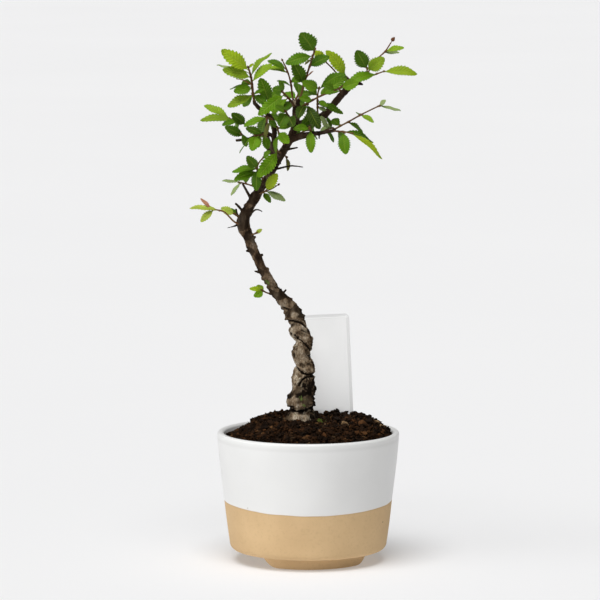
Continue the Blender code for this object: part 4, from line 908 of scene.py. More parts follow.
SHOOTS = {
    "crown_shoot": (3.6, [
        ([(-6.6, 276, 0), (-4.2, 282, -1), (-2.3, 289, -2), (0.3, 297, -3), (2.2, 303, -4),
          (3.8, 308, -5)], 0.95, 0.6, [
            (4.8, -4.6, 317.4, -12, 0, 0.56, DARK), (4.3, -13.6, 299.6, -5, 20, 0.42, MID),
            (3.2, 12.4, 304.0, -4, 25, 0.5, DARK), (3.9, -2.2, 299.6, 3, 55, 0.36, BROWN),
            (2.1, 2.8, 295.8, 4, 78, 0.3, RED), (1.8, -9.3, 300.2, -6, 10, 0.5, DARK)]),
    ]),
    "crown_left_shoot": (3.6, [
        ([(-8.2, 275.6, 0.5), (-9.6, 281, 3), (-10.2, 287, 4), (-11.4, 292.5, 4.5),
          (-13.2, 297.5, 5), (-15.3, 302, 5.5)], 0.8, 0.5, [
            (3.9, -24.4, 302.2, -2, 52, 0.45, MID), (3.5, -25.4, 298.2, 5, 62, 0.42, LIGHT),
            (2.0, -18.9, 290.0, -3, 72, 0.4, DARK), (2.4, -5.5, 291.5, 8, 35, 0.5, MID)]),
    ]),
    "upper_left_shoot": (1.8, [
        ([(-32.0, 276.0, -11), (-32.9, 281, -12), (-33.4, 286, -13), (-34.0, 291, -14),
          (-34.9, 294.6, -14.5), (-35.6, 296.6, -15)], 0.9, 0.55, [
            (4.3, -51.6, 306.9, -6, 22, 0.42, YOUNG), (3.3, -21.8, 305.8, 5, 68, 0.4, LIGHT),
            (3.0, -50.8, 295.4, -7, 30, 0.42, LIGHT), (2.5, -21.6, 299.0, -3, 52, 0.42, LIGHT),
            (4.9, -32.6, 299.4, 1, 30, 0.4, YOUNG), (3.6, -54.6, 298.6, 7, 80, 0.3, GREY),
            (1.7, -44.3, 282.5, -6, 15, 0.5, BRIGHT), (1.9, -46.9, 284.7, 6, 75, 0.34, MID),
            (0.9, -47.9, 273.6, -4, 35, 0.38, LIGHT), (2.1, -42.9, 290.7, 4, 80, 0.2, RED),
            (1.1, -38.9, 274.2, 4, 20, 0.5, MID), (1.0, -26.3, 283.8, -4, 60, 0.4, MID),
            (1.0, -24.6, 275.0, -3, 20, 0.5, DARK), (2.2, -39.6, 289.0, 7, 30, 0.5, MID)]),
    ]),
    "back_left_shoot": (3.6, [
        ([(-25.2, 262.4, 20), (-24.8, 270, 25), (-23.6, 277, 28), (-23, 282, 31)], 0.9, 0.55, [
            (2.2, -29.0, 293.0, -3, 8, 0.5, DARK), (1.1, -28.5, 257.5, 10, 40, 0.45, DARK),
            (1.2, -16.4, 266.5, 8, 50, 0.45, MID), (1.7, -15.8, 279.5, 9, 55, 0.45, DARK),
            (2.7, -17.5, 284.5, 12, 45, 0.45, MID), (1.0, -19.5, 256.0, 5, 60, 0.45, DARK)]),
    ]),
    "front_left_shoot": (3.6, [
        ([(-7.6, 273, -1), (-10.5, 277.5, -8), (-13, 280, -15), (-15.5, 282.2, -22)], 0.85, 0.55, [
            (2.4, -29.7, 268.2, -6, 8, 0.34, BRIGHT), (2.9, -21.4, 283.4, -9, 10, 0.5, MID),
            (2.8, -17.2, 288.4, -6, 35, 0.4, MID), (1.1, -15.6, 270.8, -5, 25, 0.56, DARK),
            (1.6, -21.6, 269.4, 3, 35, 0.4, BRIGHT)]),
    ]),
    "front_shoot": (3.6, [
        ([(-8.2, 263, 0), (-10.5, 266.5, -9), (-12, 268.5, -17), (-13.5, 270.5, -25)], 0.85, 0.55, [
            (2.5, -17.4, 261.6, -9, 0, 0.62, DARK), (1.8, -8.8, 261.4, -10, 0, 0.58, DEEP_SHADE),
            (2.9, -19.5, 273.6, -6, 30, 0.45, MID)]),
    ]),
    "front_low_shoot": (3.6, [
        ([(-13.4, 250.6, 0), (-16, 254, -8), (-17.5, 257.5, -15), (-18.4, 261, -20)], 0.8, 0.55, [
            (2.3, -11.5, 251.6, -9, 5, 0.48, BRIGHT), (2.0, -19.3, 246.2, -5, 60, 0.42, MID),
            (2.8, -10.6, 262.4, 3, 35, 0.5, MID), (2.9, -23.5, 264.5, -6, 40, 0.4, DARK)]),
    ]),
    "left_mid_shoot": (3.5, [
        ([(-20.9, 263.2, -7), (-21.6, 266, -12), (-24.5, 267.6, -16), (-27, 268, -20)], 0.75, 0.5, [
            (1.1, -25.7, 254.6, -2, 58, 0.36, BROWN), (2.1, -38.4, 261.8, -3, 48, 0.36, BRIGHT)]),
    ]),
    "left_low_shoot": (2.6, [
        ([(-25.6, 258.4, -1.5), (-27, 257.5, -7), (-29, 257, -12), (-31.5, 256.5, -17)], 0.75, 0.5, [
            (0.9, -37.4, 261.4, 0, 15, 0.44, DARK), (1.3, -33.0, 254.6, -5, 35, 0.4, BRIGHT),
            (2.9, -33.6, 247.1, -9, 0, 0.56, BRIGHT), (1.9, -29.7, 249.4, -3, 20, 0.5, MID),
            (2.6, -41.2, 246.2, 7, 80, 0.24, MID), (0.9, -24.2, 248.6, 1, 15, 0.52, MID)]),
    ]),
    "far_left_shoot": (2.4, [
        ([(-31, 257.2, 2), (-34.5, 261, 6), (-38, 264.3, 10), (-43, 266.5, 14), (-47, 268, 17)],
         0.75, 0.5, [
            (4.0, -62.9, 276.2, 4, 48, 0.34, LIGHT), (3.4, -64.9, 267.0, -5, 48, 0.27, LIGHT),
            (1.9, -45.9, 270.6, -6, 0, 0.5, DARK), (2.9, -51.9, 263.8, -3, 45, 0.46, MID),
            (2.6, -44.0, 262.0, 11, 50, 0.45, MID)]),
    ]),
    "far_left_low_shoot": (2.2, [
        ([(-36.6, 255.2, 4), (-38.6, 256.8, -1), (-40, 258, -6)], 0.7, 0.5, [
            (0.9, -49.9, 262.4, -3, 10, 0.44, DARK), (1.9, -36.8, 250.6, 4, 30, 0.5, MID)]),
    ]),
    "centre_shoot": (3.6, [
        ([(-6.4, 273, -1), (-2, 275.3, -5), (3, 278.2, -8), (8, 280.6, -11), (13, 282.2, -14),
          (18, 284.5, -17), (22, 287, -19)], 0.8, 0.5, [
            (2.9, 21.2, 289.8, -5, 20, 0.4, MID), (5.3, 29.5, 287.6, -5, 8, 0.52, BRIGHT),
            (1.9, -5.3, 278.8, -4, 20, 0.5, MID), (1.2, 6.9, 260.6, -4, 8, 0.42, DEEP_SHADE),
            (1.0, -6.2, 267.0, -8, 20, 0.5, DEEP_SHADE), (4.5, 9.0, 286.4, -7, 30, 0.45, MID)]),
    ]),
    "middle_shoot": (3.4, [
        ([(5.2, 267, 4.5), (5.5, 271, 1.5), (5.4, 276, 0), (5.5, 281, -0.5), (6.3, 285, -1)],
         0.75, 0.5, [
            (3.9, 21.9, 293.8, -7, 55, 0.4, DARK), (4.0, -3.6, 288.8, -8, 5, 0.5, BRIGHT),
            (3.0, 0.4, 285.2, 5, 20, 0.6, DARK), (2.0, 20.6, 270.0, -2, 55, 0.36, DARK),
            (2.4, 11.4, 274.2, -5, 35, 0.42, MID), (1.6, 10.6, 272.2, -1, 30, 0.5, GREY),
            (0.9, -3.8, 262.8, -7, 25, 0.5, DARK)]),
    ]),
    "right_top_shoot": (3.2, [
        ([(27.4, 288.5, 10.6), (31, 290.4, 9), (35, 292, 7.5), (40, 294, 6), (44.5, 295.6, 5)],
         0.8, 0.5, [
            (3.2, 23.6, 289.2, -6, 35, 0.36, BRIGHT), (4.0, 65.3, 294.6, 2, 40, 0.33, YOUNG)]),
        ([(35.2, 292.1, 7.4), (35.1, 297.2, 5)], 0.6, 0.5, [
            (1.0, 28.8, 308.0, -6, 0, 0.6, DARK), (0.9, 45.2, 303.4, -9, 0, 0.52, LIGHT)]),
        ([(35.1, 294.4, 6.4), (38.5, 299.5, 10), (42.5, 304.8, 12), (46.2, 308.4, 13),
          (50.1, 314.4, 14)], 0.6, 0.45, [
            (3.0, 57.3, 310.2, -3, 40, 0.34, LIGHT), (2.7, 54.6, 308.0, 6, 55, 0.36, GREY)]),
    ]),
    "right_inner_shoot": (3.2, [
        ([(25.2, 287.3, 10), (24.3, 291, 7), (21.6, 293.2, 4.5), (18, 293.6, 3), (14, 297.8, 2),
          (10, 301.6, 1)], 0.75, 0.5, [
            (1.7, 10.6, 308.0, -5, 20, 0.38, YOUNG), (4.9, 3.4, 307.6, -2, 30, 0.6, YOUNG),
            (2.1, 20.9, 297.2, 2, 70, 0.4, BRIGHT), (1.3, 19.5, 290.8, -8, 20, 0.5, MID)]),
    ]),
    "right_back_shoot": (3.4, [
        ([(19.6, 281.6, 8.5), (20, 284, 15), (18.5, 286, 22), (16, 287.5, 28)], 0.75, 0.5, [
            (2.9, 7.5, 284.5, 9, 50, 0.45, MID), (1.9, 26.5, 290.0, 7, 45, 0.45, DARK),
            (2.4, 14.5, 291.5, 12, 30, 0.45, DARK), (1.4, 12.0, 283.0, 4, 60, 0.45, MID)]),
    ]),
    "right_long_shoot": (2.6, [
        ([(14.0, 259.6, -8), (18.5, 262.2, -8), (23.5, 264.8, -9), (30.5, 268.7, -10),
          (36.5, 271.7, -11), (43, 274.8, -12)], 0.7, 0.5, [
            (4.9, 46.0, 277.6, -2, 30, 0.55, GREY), (4.8, 55.1, 271.2, 2, 70, 0.3, GREY),
            (3.1, 38.9, 264.4, -4, 48, 0.44, LIGHT), (3.0, 28.5, 270.8, 2, 60, 0.35, MID),
            (2.0, 32.4, 259.2, 5, 60, 0.4, DARK), (1.1, 14.2, 266.8, 6, 15, 0.6, DARK)]),
    ]),
    "right_hanging_shoot": (2.6, [
        ([(14.0, 259.6, -8), (17.2, 259.2, -12), (21, 258.8, -15), (25.5, 257.8, -18)], 0.7, 0.5, [
            (2.0, 22.3, 245.3, -3, 0, 0.54, MID), (1.8, 38.9, 252.8, 7, 72, 0.36, DARK),
            (3.0, 44.0, 242.3, -2, 62, 0.27, YOUNG), (1.1, 20.2, 254.0, 8, 35, 0.5, MID)]),
    ]),
    "right_inner_low_shoot": (2.8, [
        ([(9.0, 258.8, -6.5), (10.6, 260.4, -1), (12.8, 261.4, 4), (14.6, 262, 9)], 0.7, 0.5, [
            (1.5, 7.4, 268.7, -3, 42, 0.4, GREY), (2.8, 11.0, 268.8, 4, 45, 0.4, DARK),
            (0.9, 15.4, 253.2, 4, 58, 0.38, DARK), (2.9, 8.0, 262.0, 14, 45, 0.42, GREY)]),
    ]),
    "hanging_shoot": (3.0, [
        ([(1.5, 257.7, -4.5), (1.5, 260.2, -9), (0.8, 261.2, -13)], 0.75, 0.5, [
            (1.1, 1.6, 246.2, -4, 4, 0.42, BRIGHT), (1.6, -9.0, 260.4, -3, 35, 0.46, MID)]),
    ]),
    "back_low_shoot": (3.2, [
        ([(-4.6, 256.8, -2), (-4.2, 259, 7), (-2.4, 260.4, 15), (0.4, 261.4, 23)], 0.75, 0.5, [
            (1.0, -10.5, 259.0, 9, 50, 0.45, DARK), (1.9, 4.6, 266.0, 5, 45, 0.45, DEEP_SHADE),
            (2.9, -4.5, 265.5, 9, 50, 0.45, DARK), (2.8, 4.5, 258.8, 13, 60, 0.45, DARK)]),
    ]),
    "back_shoot": (2.8, [
        ([(-7.9, 271, 20), (-8.6, 276, 27), (-7.5, 280.5, 34), (-6, 284, 40)], 0.85, 0.55, [
            (1.2, -15.8, 273.8, 8, 45, 0.45, DEEP_SHADE), (1.5, -0.8, 276.8, 8, 50, 0.45, DARK),
            (2.1, -14.8, 284.8, 7, 45, 0.45, MID), (2.4, 2.4, 284.8, 6, 55, 0.45, DARK),
            (2.9, -6.8, 291.5, 9, 30, 0.45, DARK)]),
    ]),
    "lower_cluster_shoot": (3.2, [
        ([(-26.4, 229.2, 1), (-28.6, 233.4, -5), (-30.6, 236.8, -9), (-29.6, 240.2, -12),
          (-27, 243.2, -15)], 0.8, 0.5, [
            (2.0, -31.1, 223.6, -4, 5, 0.46, DARK), (2.2, -36.5, 244.1, -8, 0, 0.48, DARK),
            (2.1, -45.4, 234.8, -2, 58, 0.38, MID), (2.0, -41.4, 234.8, 6, 42, 0.42, DARK),
            (1.5, -44.4, 230.2, -3, 30, 0.36, MID), (3.9, -22.5, 247.0, -6, 50, 0.45, MID)]),
    ]),
    "trunk_leaf_shoot": (3.6, [
        ([(-15.9, 246.2, 0.5), (-18, 247.4, -6), (-19.6, 248.6, -11)], 0.75, 0.5, [
            (1.1, -30.1, 231.8, -7.3, 5, 0.4, BRIGHT)]),
    ]),
    "grey_twig_shoot": (3.6, [
        ([(-29.4, 224.6, 1), (-33.5, 227, 6), (-38, 228.6, 10), (-41.5, 229.4, 13)], 0.7, 0.5, [
            (2.9, -51.9, 230.3, 2, 70, 0.34, GREY), (2.7, -46.4, 221.1, -3, 62, 0.4, GREY),
            (1.9, -36.0, 234.0, 8, 40, 0.5, MID)]),
    ]),
    "trunk_right_shoot": (3.4, [
        ([(-17.4, 243.9, 1), (-14.4, 245.2, 5.5), (-13.2, 244.6, 7)], 0.7, 0.55, [
            (1.8, -12.3, 236.0, 0, 38, 0.34, BROWN)]),
    ]),
    "right_young_shoot": (3.6, [
        ([(-30.6, 221.6, 1), (-27.3, 222.8, -4), (-25.4, 223.7, -7)], 0.75, 0.55, [
            (1.9, -18.6, 234.0, -4, 12, 0.46, YOUNG), (1.8, -13.8, 218.0, 2, 42, 0.38, GREY),
            (1.2, -22.6, 216.6, -5, 30, 0.46, DARK)]),
        ([(-26.2, 223.3, -5.7), (-22, 225, -3), (-18.4, 227.3, -2)], 0.5, 0.45, []),
    ]),
    "left_young_shoot": (4.6, [
        ([(-39.4, 202.6, 2), (-44.5, 205.4, -3), (-47.5, 208.4, -5), (-50.2, 211, -7),
          (-53.5, 212.1, -8), (-58.4, 212.5, -9)], 0.75, 0.5, [
            (3.7, -70.9, 213.4, -3, 58, 0.24, PALE), (4.6, -64.3, 205.0, -3, 18, 0.4, PALE),
            (4.9, -64.4, 219.2, 2, 35, 0.26, PINK)]),
    ]),
    "bud_shoot": (4.4, [
        ([(-39.0, 207.6, 2), (-42.2, 208.6, -1.5), (-44, 209.8, -3.5)], 0.75, 0.6, [
            (1.9, -52.3, 213.6, 2, 5, 0.52, PALE), (1.6, -46.7, 213.4, 4, 40, 0.4, DARK)]),
    ]),
    "low_left_shoot": (4.2, [
        ([(-19.6, 161.2, 2), (-24.5, 162.3, 1), (-27.5, 163.8, 0)], 0.7, 0.5, [
            (1.9, -35.4, 165.0, -2, 40, 0.4, YOUNG), (1.8, -32.7, 160.2, -4, 10, 0.6, BRIGHT),
            (1.7, -31.0, 167.0, 5, 35, 0.5, LIGHT)]),
    ]),
    "low_right_shoot": (4.4, [
        ([(-36.0, 196.6, 2), (-32.4, 198, -2), (-31.4, 198.4, -3)], 0.7, 0.55, [
            (1.5, -27.7, 200.8, -1, 25, 0.5, PALE)]),
    ]),
}

# %% [markdown]
# ## The trunk
# Wood that grew as one has no joints, so the rods are melted together: a voxel remesh turns the whole
# bundle into one skin, and a little smoothing softens the forks. The years of training come after that,
# as moves of the skin itself. Where wire was left on too long, the bark swelled over it and kept its
# scars, which wind round the lower trunk. Roots flare at the base, and the old bark is lumpy.

# %% Melt the rods into one skin
VOXEL = 0.4 * MM
ROOT_ENDS = [
    [(-2.6, 93.0, 2.0, 5.0), (0.0, 89.6, 8.0, 3.4), (2.5, 85.4, 12.5, 1.8), (4.0, 82.0, 15.0, 0.8)],
    [(-3.6, 93.0, 2.0, 5.0), (-7.0, 89.0, 7.0, 3.4), (-9.0, 85.0, 11.0, 1.8), (-10.0, 82.0, 13.5, 0.8)],
    [(-3.6, 90.0, 0.0, 5.0), (-9.4, 86.4, 0.5, 3.4), (-14.4, 83.4, 1.0, 1.6), (-17.0, 81.0, 1.5, 0.7)],
]


def wood_row(x, height, depth, radius):
    return (*placed(x, height, depth), radius * MM)


def trunk_depth(height):
    """The trunk's gentle sway backwards and forwards, in mm."""
    return 3.0 * sin((height - 88.0) / 62.0) if height > 88.0 else 0.0


def all_wood():
    """The smooth lines of every woody part: the trunk's first, then the rest."""
    trunk_rows = [wood_row(x, height, trunk_depth(height), radius) for x, height, radius in TRUNK]
    lines = [smooth_line(trunk_rows, 3)]
    for rows in BRANCHES.values():
        lines.append(smooth_line([wood_row(*row) for row in rows], 3))
    for rows, first, last in STUBS:
        radii = np.linspace(first, last, len(rows))
        lines.append(smooth_line([wood_row(*row, radius) for row, radius in zip(rows, radii)], 2))
    for collar, stems in SHOOTS.values():
        root, second = (placed(*point) for point in stems[0][0][:2])
        end = root + (second - root).normalized() * collar * MM
        thick = stems[0][1]
        lines.append(np.array([(*root, (thick + 0.35) * MM), (*root.lerp(end, 0.6), (thick + 0.12) * MM),
                               (*root.lerp(end, 0.85), (thick + 0.25) * MM), (*end, (thick + 0.05) * MM)]))
    for rows in ROOT_ENDS:
        lines.append(smooth_line([wood_row(*row) for row in rows], 3))
    return lines


def melt(item, voxel, rounds):
    take(item)
    remesh = item.modifiers.new("melt", "REMESH")
    remesh.mode = "VOXEL"
    remesh.voxel_size = voxel
    bpy.ops.object.modifier_apply(modifier=remesh.name)
    soften = item.modifiers.new("soften", "SMOOTH")
    soften.factor = 0.5
    soften.iterations = rounds
    bpy.ops.object.modifier_apply(modifier=soften.name)
    return item


wood_lines = all_wood()
trunk = join([rod(f"wood_{number}", rows, 3) for number, rows in enumerate(wood_lines)], "elm_trunk")
melt(trunk, VOXEL, 2)
print("wood rods:", len(wood_lines), " faces after melting:", len(trunk.data.polygons))

# %% [markdown]
# ## Scars, knobs and bark
# The wire's scars are drawn as lines on the trunk: an angle round it, with 0 at the front and 90 at the
# right, and a height. Every point of the skin near such a line is pushed in, and a little further out
# it is pushed up, because bark swells beside a wire. Scars fade out on the younger wood higher up. A
# knob is pushed out, or in where its push is negative. Moss, bare pale wood with the paler lips beside
# the scars, and the dark cracks, grooves and patches are stored as marks for the finish. The lips are
# partly a painted highlight, and the dark mark is partly painted shade, also on thin wood.

# %% Carve the skin
SCAR_TOP = 172.0
FADE_TOP, FADE_SPAN, FADED = 160.0, 8.0, 0.25
SCAR_DEPTH, SCAR_WIDTH = 1.05, 0.62
SWELL_HEIGHT, SWELL_PLACE, SWELL_WIDTH = 0.4, 1.45, 0.65
LIP_PLACE, LIP_WIDTH = 1.35, 0.5
OLD_RADIUS = 3.6
SCAR_LINES = (
    (0.9, [(-90, 146.0), (-28, 145.4), (0, 144.8), (37, 143.9), (90, 141.0), (180, 130.0), (270, 119.5)]),
    (0.8, [(-150, 158.0), (-53, 153.6), (-14, 151.7), (18, 151.1), (86, 150.0), (180, 144.0), (285, 136.5)]),
    (0.9, [(-75, 136.5), (-30, 133.9), (-1, 132.0), (34, 129.6), (90, 126.5), (180, 114.0), (260, 102.0)]),
    (0.8, [(-52, 130.2), (-80, 128.6), (-95, 126.0), (-80, 123.3)]),
    (1.2, [(-90, 118.7), (-36, 115.6), (-6, 113.8), (18, 112.9), (67, 113.5), (110, 112.5), (170, 106.0)]),
    (0.6, [(-15, 119.3), (-6, 117.5), (14, 117.5), (37, 119.3)]),
    (1.2, [(150, 119.0), (90, 113.0), (66, 112.0), (14, 111.4), (-6, 109.6), (-22, 106.5), (-40, 104.1),
           (-56, 102.3), (-90, 100.5)]),
    (1.1, [(-110, 100.0), (-80, 99.8), (-43, 99.2), (-19, 100.1), (6, 99.5), (36, 98.6), (63, 99.2),
           (120, 100.5), (200, 101.5), (250, 100.0)]),
    (1.3, [(-180, 92.0), (-120, 92.5), (-61, 92.5), (-38, 91.0), (-3, 90.7), (32, 91.6), (68, 93.1),
           (120, 92.5), (180, 92.0)]),
    (0.6, [(25, 139.9), (50, 138.7), (87, 136.9), (130, 134.0)]),
    (0.6, [(-90, 142.4), (-31, 143.0), (6, 142.4)]),
    (0.7, [(-100, 136.5), (-60, 134.9), (-28, 135.7)]),
    (0.7, [(9, 110.8), (4, 107.1), (5, 102.9)]),
    (0.5, [(-160, 168.0), (-60, 166.5), (20, 165.0), (90, 166.0)]),
    (0.5, [(120, 131.0), (180, 136.0), (240, 140.0)]),
)
KNOBS = (
    (-90, 138.7, 3.0, 0.9), (-90, 126.4, 2.2, 1.0), (62, 133.5, 4.2, 0.6), (58, 117.3, 3.6, 0.9),
    (-78, 96.4, 2.2, 0.8), (-80, 92.9, 1.6, -0.9), (-85, 99.8, 1.1, 1.3), (-45, 96.2, 2.2, 0.4),
    (85, 157.9, 1.0, 1.9), (88, 151.7, 0.9, 1.8), (90, 148.4, 1.0, 1.4), (-72, 153.8, 1.4, 1.3),
    (-80, 150.6, 1.1, 1.2), (-85, 147.0, 1.0, 1.3), (84, 100.0, 1.0, 0.9), (88, 95.0, 1.1, 0.8),
    (86, 104.5, 1.0, 0.8), (-88, 110.5, 1.1, 0.7), (-86, 160.5, 1.0, 0.8), (84, 164.0, 1.0, 0.9),
    (-84, 171.0, 0.9, 0.8), (86, 176.5, 0.9, 0.9), (150, 140.0, 3.0, 0.8), (200, 124.0, 3.2, 0.9),
    (140, 110.0, 3.4, 0.8), (230, 108.0, 2.8, 0.8), (70, 97.5, 1.6, 0.7), (60, 102.5, 1.4, 0.7),
    (-70, 205.2, 2.6, 0.6), (80, 210.0, 1.8, 0.7), (40, 197.0, 2.0, 0.5), (-60, 190.0, 1.6, 0.6),
    (120, 184.0, 1.8, 0.5), (-100, 221.0, 2.0, 0.5),
)
# Dark patches on the trunk: partly dark bark, partly painted shade, most of it on the shaded right side.
DARK_SPOTS = (
    (25, 106.5, 3.8), (40, 102.0, 3.6), (3, 101.4, 2.8), (66, 108.0, 3.4), (84, 104.0, 3.4),
    (80, 97.0, 3.0), (60, 99.2, 1.8), (-73, 100.2, 2.0), (-39, 137.5, 1.7), (-62, 124.6, 1.2),
    (-5, 118.1, 0.9), (-70, 153.0, 1.8), (72, 151.0, 1.6), (85, 147.0, 1.6), (76, 140.0, 1.8),
    (70, 118.5, 1.6), (75, 124.0, 1.6), (80, 131.0, 1.8), (58, 87.4, 2.6), (80, 88.6, 2.6),
    (-80, 88.6, 1.8), (-5, 90.7, 1.9), (35, 91.3, 1.9), (-45, 91.7, 1.9), (70, 92.2, 2.2),
    (-85, 91.7, 2.2), (160, 103.0, 4.0), (200, 135.0, 3.0),
)
MOSS_SPOTS = (
    (4, 97.2, 1.7), (22, 97.8, 1.3), (10, 94.6, 1.0), (-35, 169.0, 1.5), (-30, 88.6, 0.8),
    (150, 94.0, 2.2),
)
BARE_SPOTS = (
    (-12, 87.4, 3.2), (8, 86.4, 2.6), (-38, 88.0, 2.6), (-30, 95.8, 3.0), (-62, 95.6, 2.8),
    (0, 95.2, 2.0), (20, 123.6, 2.8), (-20, 122.0, 2.8), (-49, 121.4, 2.2), (-30, 130.6, 2.8),
    (-28, 126.4, 2.6), (0, 148.6, 2.2), (-20, 141.0, 2.4), (10, 134.5, 2.2), (-60, 115.4, 2.4),
    (-50, 110.5, 2.6), (-62, 105.5, 2.2), (10, 116.4, 2.2), (30, 115.8, 1.8), (-33, 277.0, 1.6),
    (190, 120.0, 3.0), (150, 133.0, 2.6),
)


def at_height(seen):
    """The trunk's middle and its radius at a height, in mm."""
    heights = [row[1] for row in TRUNK]
    return tuple(float(np.interp(seen, heights, [row[column] for row in TRUNK])) for column in (0, 2))


def on_trunk(angle, seen):
    """A point on the trunk's skin."""
    x, radius = at_height(seen)
    return placed(x + radius * sin(radians(angle)), seen, trunk_depth(seen) - radius * cos(radians(angle)))


def scar_tree():
    """A search tree over points 0.4 mm apart along all scars, with the strength of each."""
    spots, strengths = [], []
    for strength, line in SCAR_LINES:
        for (angle, seen), (next_angle, next_seen) in zip(line, line[1:]):
            steps = max(2, int(abs(next_angle - angle) * 0.3))
            for step in range(steps):
                share = step / steps
                turn = angle + (next_angle - angle) * share
                spots.append(on_trunk(turn, seen + (next_seen - seen) * share))
                strengths.append(strength)
    tree = KDTree(len(spots))
    for number, spot in enumerate(spots):
        tree.insert(spot, number)
    tree.balance()
    return tree, strengths


def wood_tree():
    """A search tree over the wood's lines, with each point's place and radius."""
    rows = np.vstack([smooth_line(rows, 3) for rows in wood_lines])
    tree = KDTree(len(rows))
    for number, row in enumerate(rows):
        tree.insert(row[:3], number)
    tree.balance()
    return tree, rows


def closeness(points, ragged, spots):
    """From 0 to 1, how close each point is to the nearest of some spots with ragged edges."""
    result = np.zeros(len(points))
    for angle, seen, reach in spots:
        far = np.linalg.norm(points - np.array(on_trunk(angle, seen)), axis=1) / (reach * MM)
        result = np.maximum(result, np.clip(1.5 - far + ragged, 0.0, 1.0) * (far < 1.9))
    return result


def carve(item):
    """Push the skin in and out along its normals, and mark its moss, its bare wood with the paler lips that
    are partly painted highlight, and its dark cracks and patches that are partly painted shade.
    """
    wood, rows = wood_tree()
    scars, strengths = scar_tree()
    points = corners(item)
    normals = np.empty(len(points) * 3, dtype=np.float32)
    item.data.vertex_normals.foreach_get("vector", normals)
    normals = normals.reshape(-1, 3)
    cracks_and_shade, pushes, ragged, lips = (np.zeros(len(points)) for kind in range(4))
    for number, row in enumerate(points):
        place, index, gap = wood.find(row)
        radius = rows[index][3] / MM
        seen = (row[2] + SIGHT * row[1]) / MM
        away = (row - np.array(place)) / MM
        angle = np.arctan2(away[0], -away[1])
        old = min(1.0, radius / OLD_RADIUS)
        spot = Vector((sin(angle) * radius, cos(angle) * radius, 0.38 * seen))
        lump = noise.noise(spot * 0.33) + 0.6 * noise.noise(spot * 0.8 + Vector((9.0, 0.0, 0.0)))
        furrow = max(0.0, 1.0 - 3.4 * abs(noise.noise(spot * 1.15 + Vector((0.0, 5.0, 0.0)))))
        wrinkle = noise.noise(Vector((spot.x * 0.45, spot.y * 0.45, seen * 0.95)))
        pit = max(0.0, noise.noise(spot * 1.9) - 0.25)
        flake = noise.noise(spot * 0.62 + Vector((0.0, 0.0, 40.0)))
        ragged[number] = 1.5 * flake + 0.9 * noise.noise(spot * 1.7 + Vector((3.0, 0.0, 0.0)))
        pushes[number] = old * (0.55 * lump - 0.3 * furrow + 0.3 * wrinkle - 0.9 * pit + 0.3 * (flake > 0.12))
        # Cracks, pits and thin wood are darkened: partly the bark's own dark and partly painted shade.
        cracks_and_shade[number] = max(old * max(0.6 * furrow, -0.75 * wrinkle, 2.0 * pit), 0.8 - 0.2 * radius)
        if seen < SCAR_TOP and radius > 2.5:
            found, which, far = scars.find(row)
            far /= MM
            groove = strengths[which] * exp(-(far / SCAR_WIDTH) ** 2)
            swell = exp(-((far - SWELL_PLACE) / SWELL_WIDTH) ** 2) + 0.7 * (1.0 - exp(-(far / 2.4) ** 2))
            pushes[number] += -SCAR_DEPTH * groove + SWELL_HEIGHT * swell * strengths[which]
            fresh = min(1.0, max(FADED, (FADE_TOP - seen) / FADE_SPAN))
            # A scar's groove is darkened, partly painted shade in the groove.
            cracks_and_shade[number] = max(cracks_and_shade[number], 1.45 * fresh * groove)
            # The swollen lip beside a scar will be paler: partly paler bark, partly a painted highlight.
            lips[number] = 0.8 * fresh * strengths[which] * exp(-((far - LIP_PLACE) / LIP_WIDTH) ** 2)
    for angle, seen, reach, push in KNOBS:
        far = np.linalg.norm(points - np.array(on_trunk(angle, seen)), axis=1) / (reach * MM)
        pushes += push * np.exp(-far ** 2)
    # The lips join the bare wood as paler bark with a painted highlight.
    pale_and_lit_lips = np.clip(lips + 0.4 * ragged, 0.0, 1.0) * (lips > 0.05)
    bare_wood_and_highlight = np.maximum(closeness(points, 0.6 * ragged, BARE_SPOTS), pale_and_lit_lips)
    cracks_and_shade = cracks_and_shade * np.where(lips + cracks_and_shade > 1.0, 1.0, 1.0 - 0.5 * bare_wood_and_highlight)
    # Dark patches: partly dark bark and partly painted shade on the trunk's shaded right side.
    dark = 0.9 * closeness(points, ragged, DARK_SPOTS)
    tag(item, "moss", closeness(points, ragged, MOSS_SPOTS))
    tag(item, "bare_wood_and_highlight", bare_wood_and_highlight)
    tag(item, "crack_and_shade_mark", np.clip(np.maximum(cracks_and_shade, dark), 0.0, 1.0))
    move_corners(item, points + normals * pushes[:, None] * MM)
    return item


carve(trunk)
settle(trunk, "elm_trunk", 75)
share_in_cracks_and_shade = np.mean([mark.value > 0.5 for mark in trunk.data.attributes["crack_and_shade_mark"].data])
print("bark in hollows:", round(100 * float(share_in_cracks_and_shade)), "%")

# %% [markdown]
# ## Bark
# The old bark below is pale grey-brown and cracked, and it darkens upwards where the wood is younger.
# Inside the crown it is darkened much further, which is painted shade under the leaves. The height of a
# point drives both, and the hollows with their painted shade, the grain and a few streaks break it up.
# Where the bark has worn off, bare wood shows through, mottled and paler, and the lips beside the scars
# are paler too, partly as a painted highlight. A green bloom grows where the bark stays damp.

# %% Finish the bark
def shades(nodes, links, value, stops):
    """A colour ramp with the given stops, read by a value."""
    node = nodes.new("ShaderNodeValToRGB")
    while len(node.color_ramp.elements) < len(stops):
        node.color_ramp.elements.new(0.5)
    for element, (position, color) in zip(node.color_ramp.elements, stops):
        element.position = position
        element.color = (*color, 1.0)
    links.new(value, node.inputs["Fac"])
    return node.outputs["Color"]


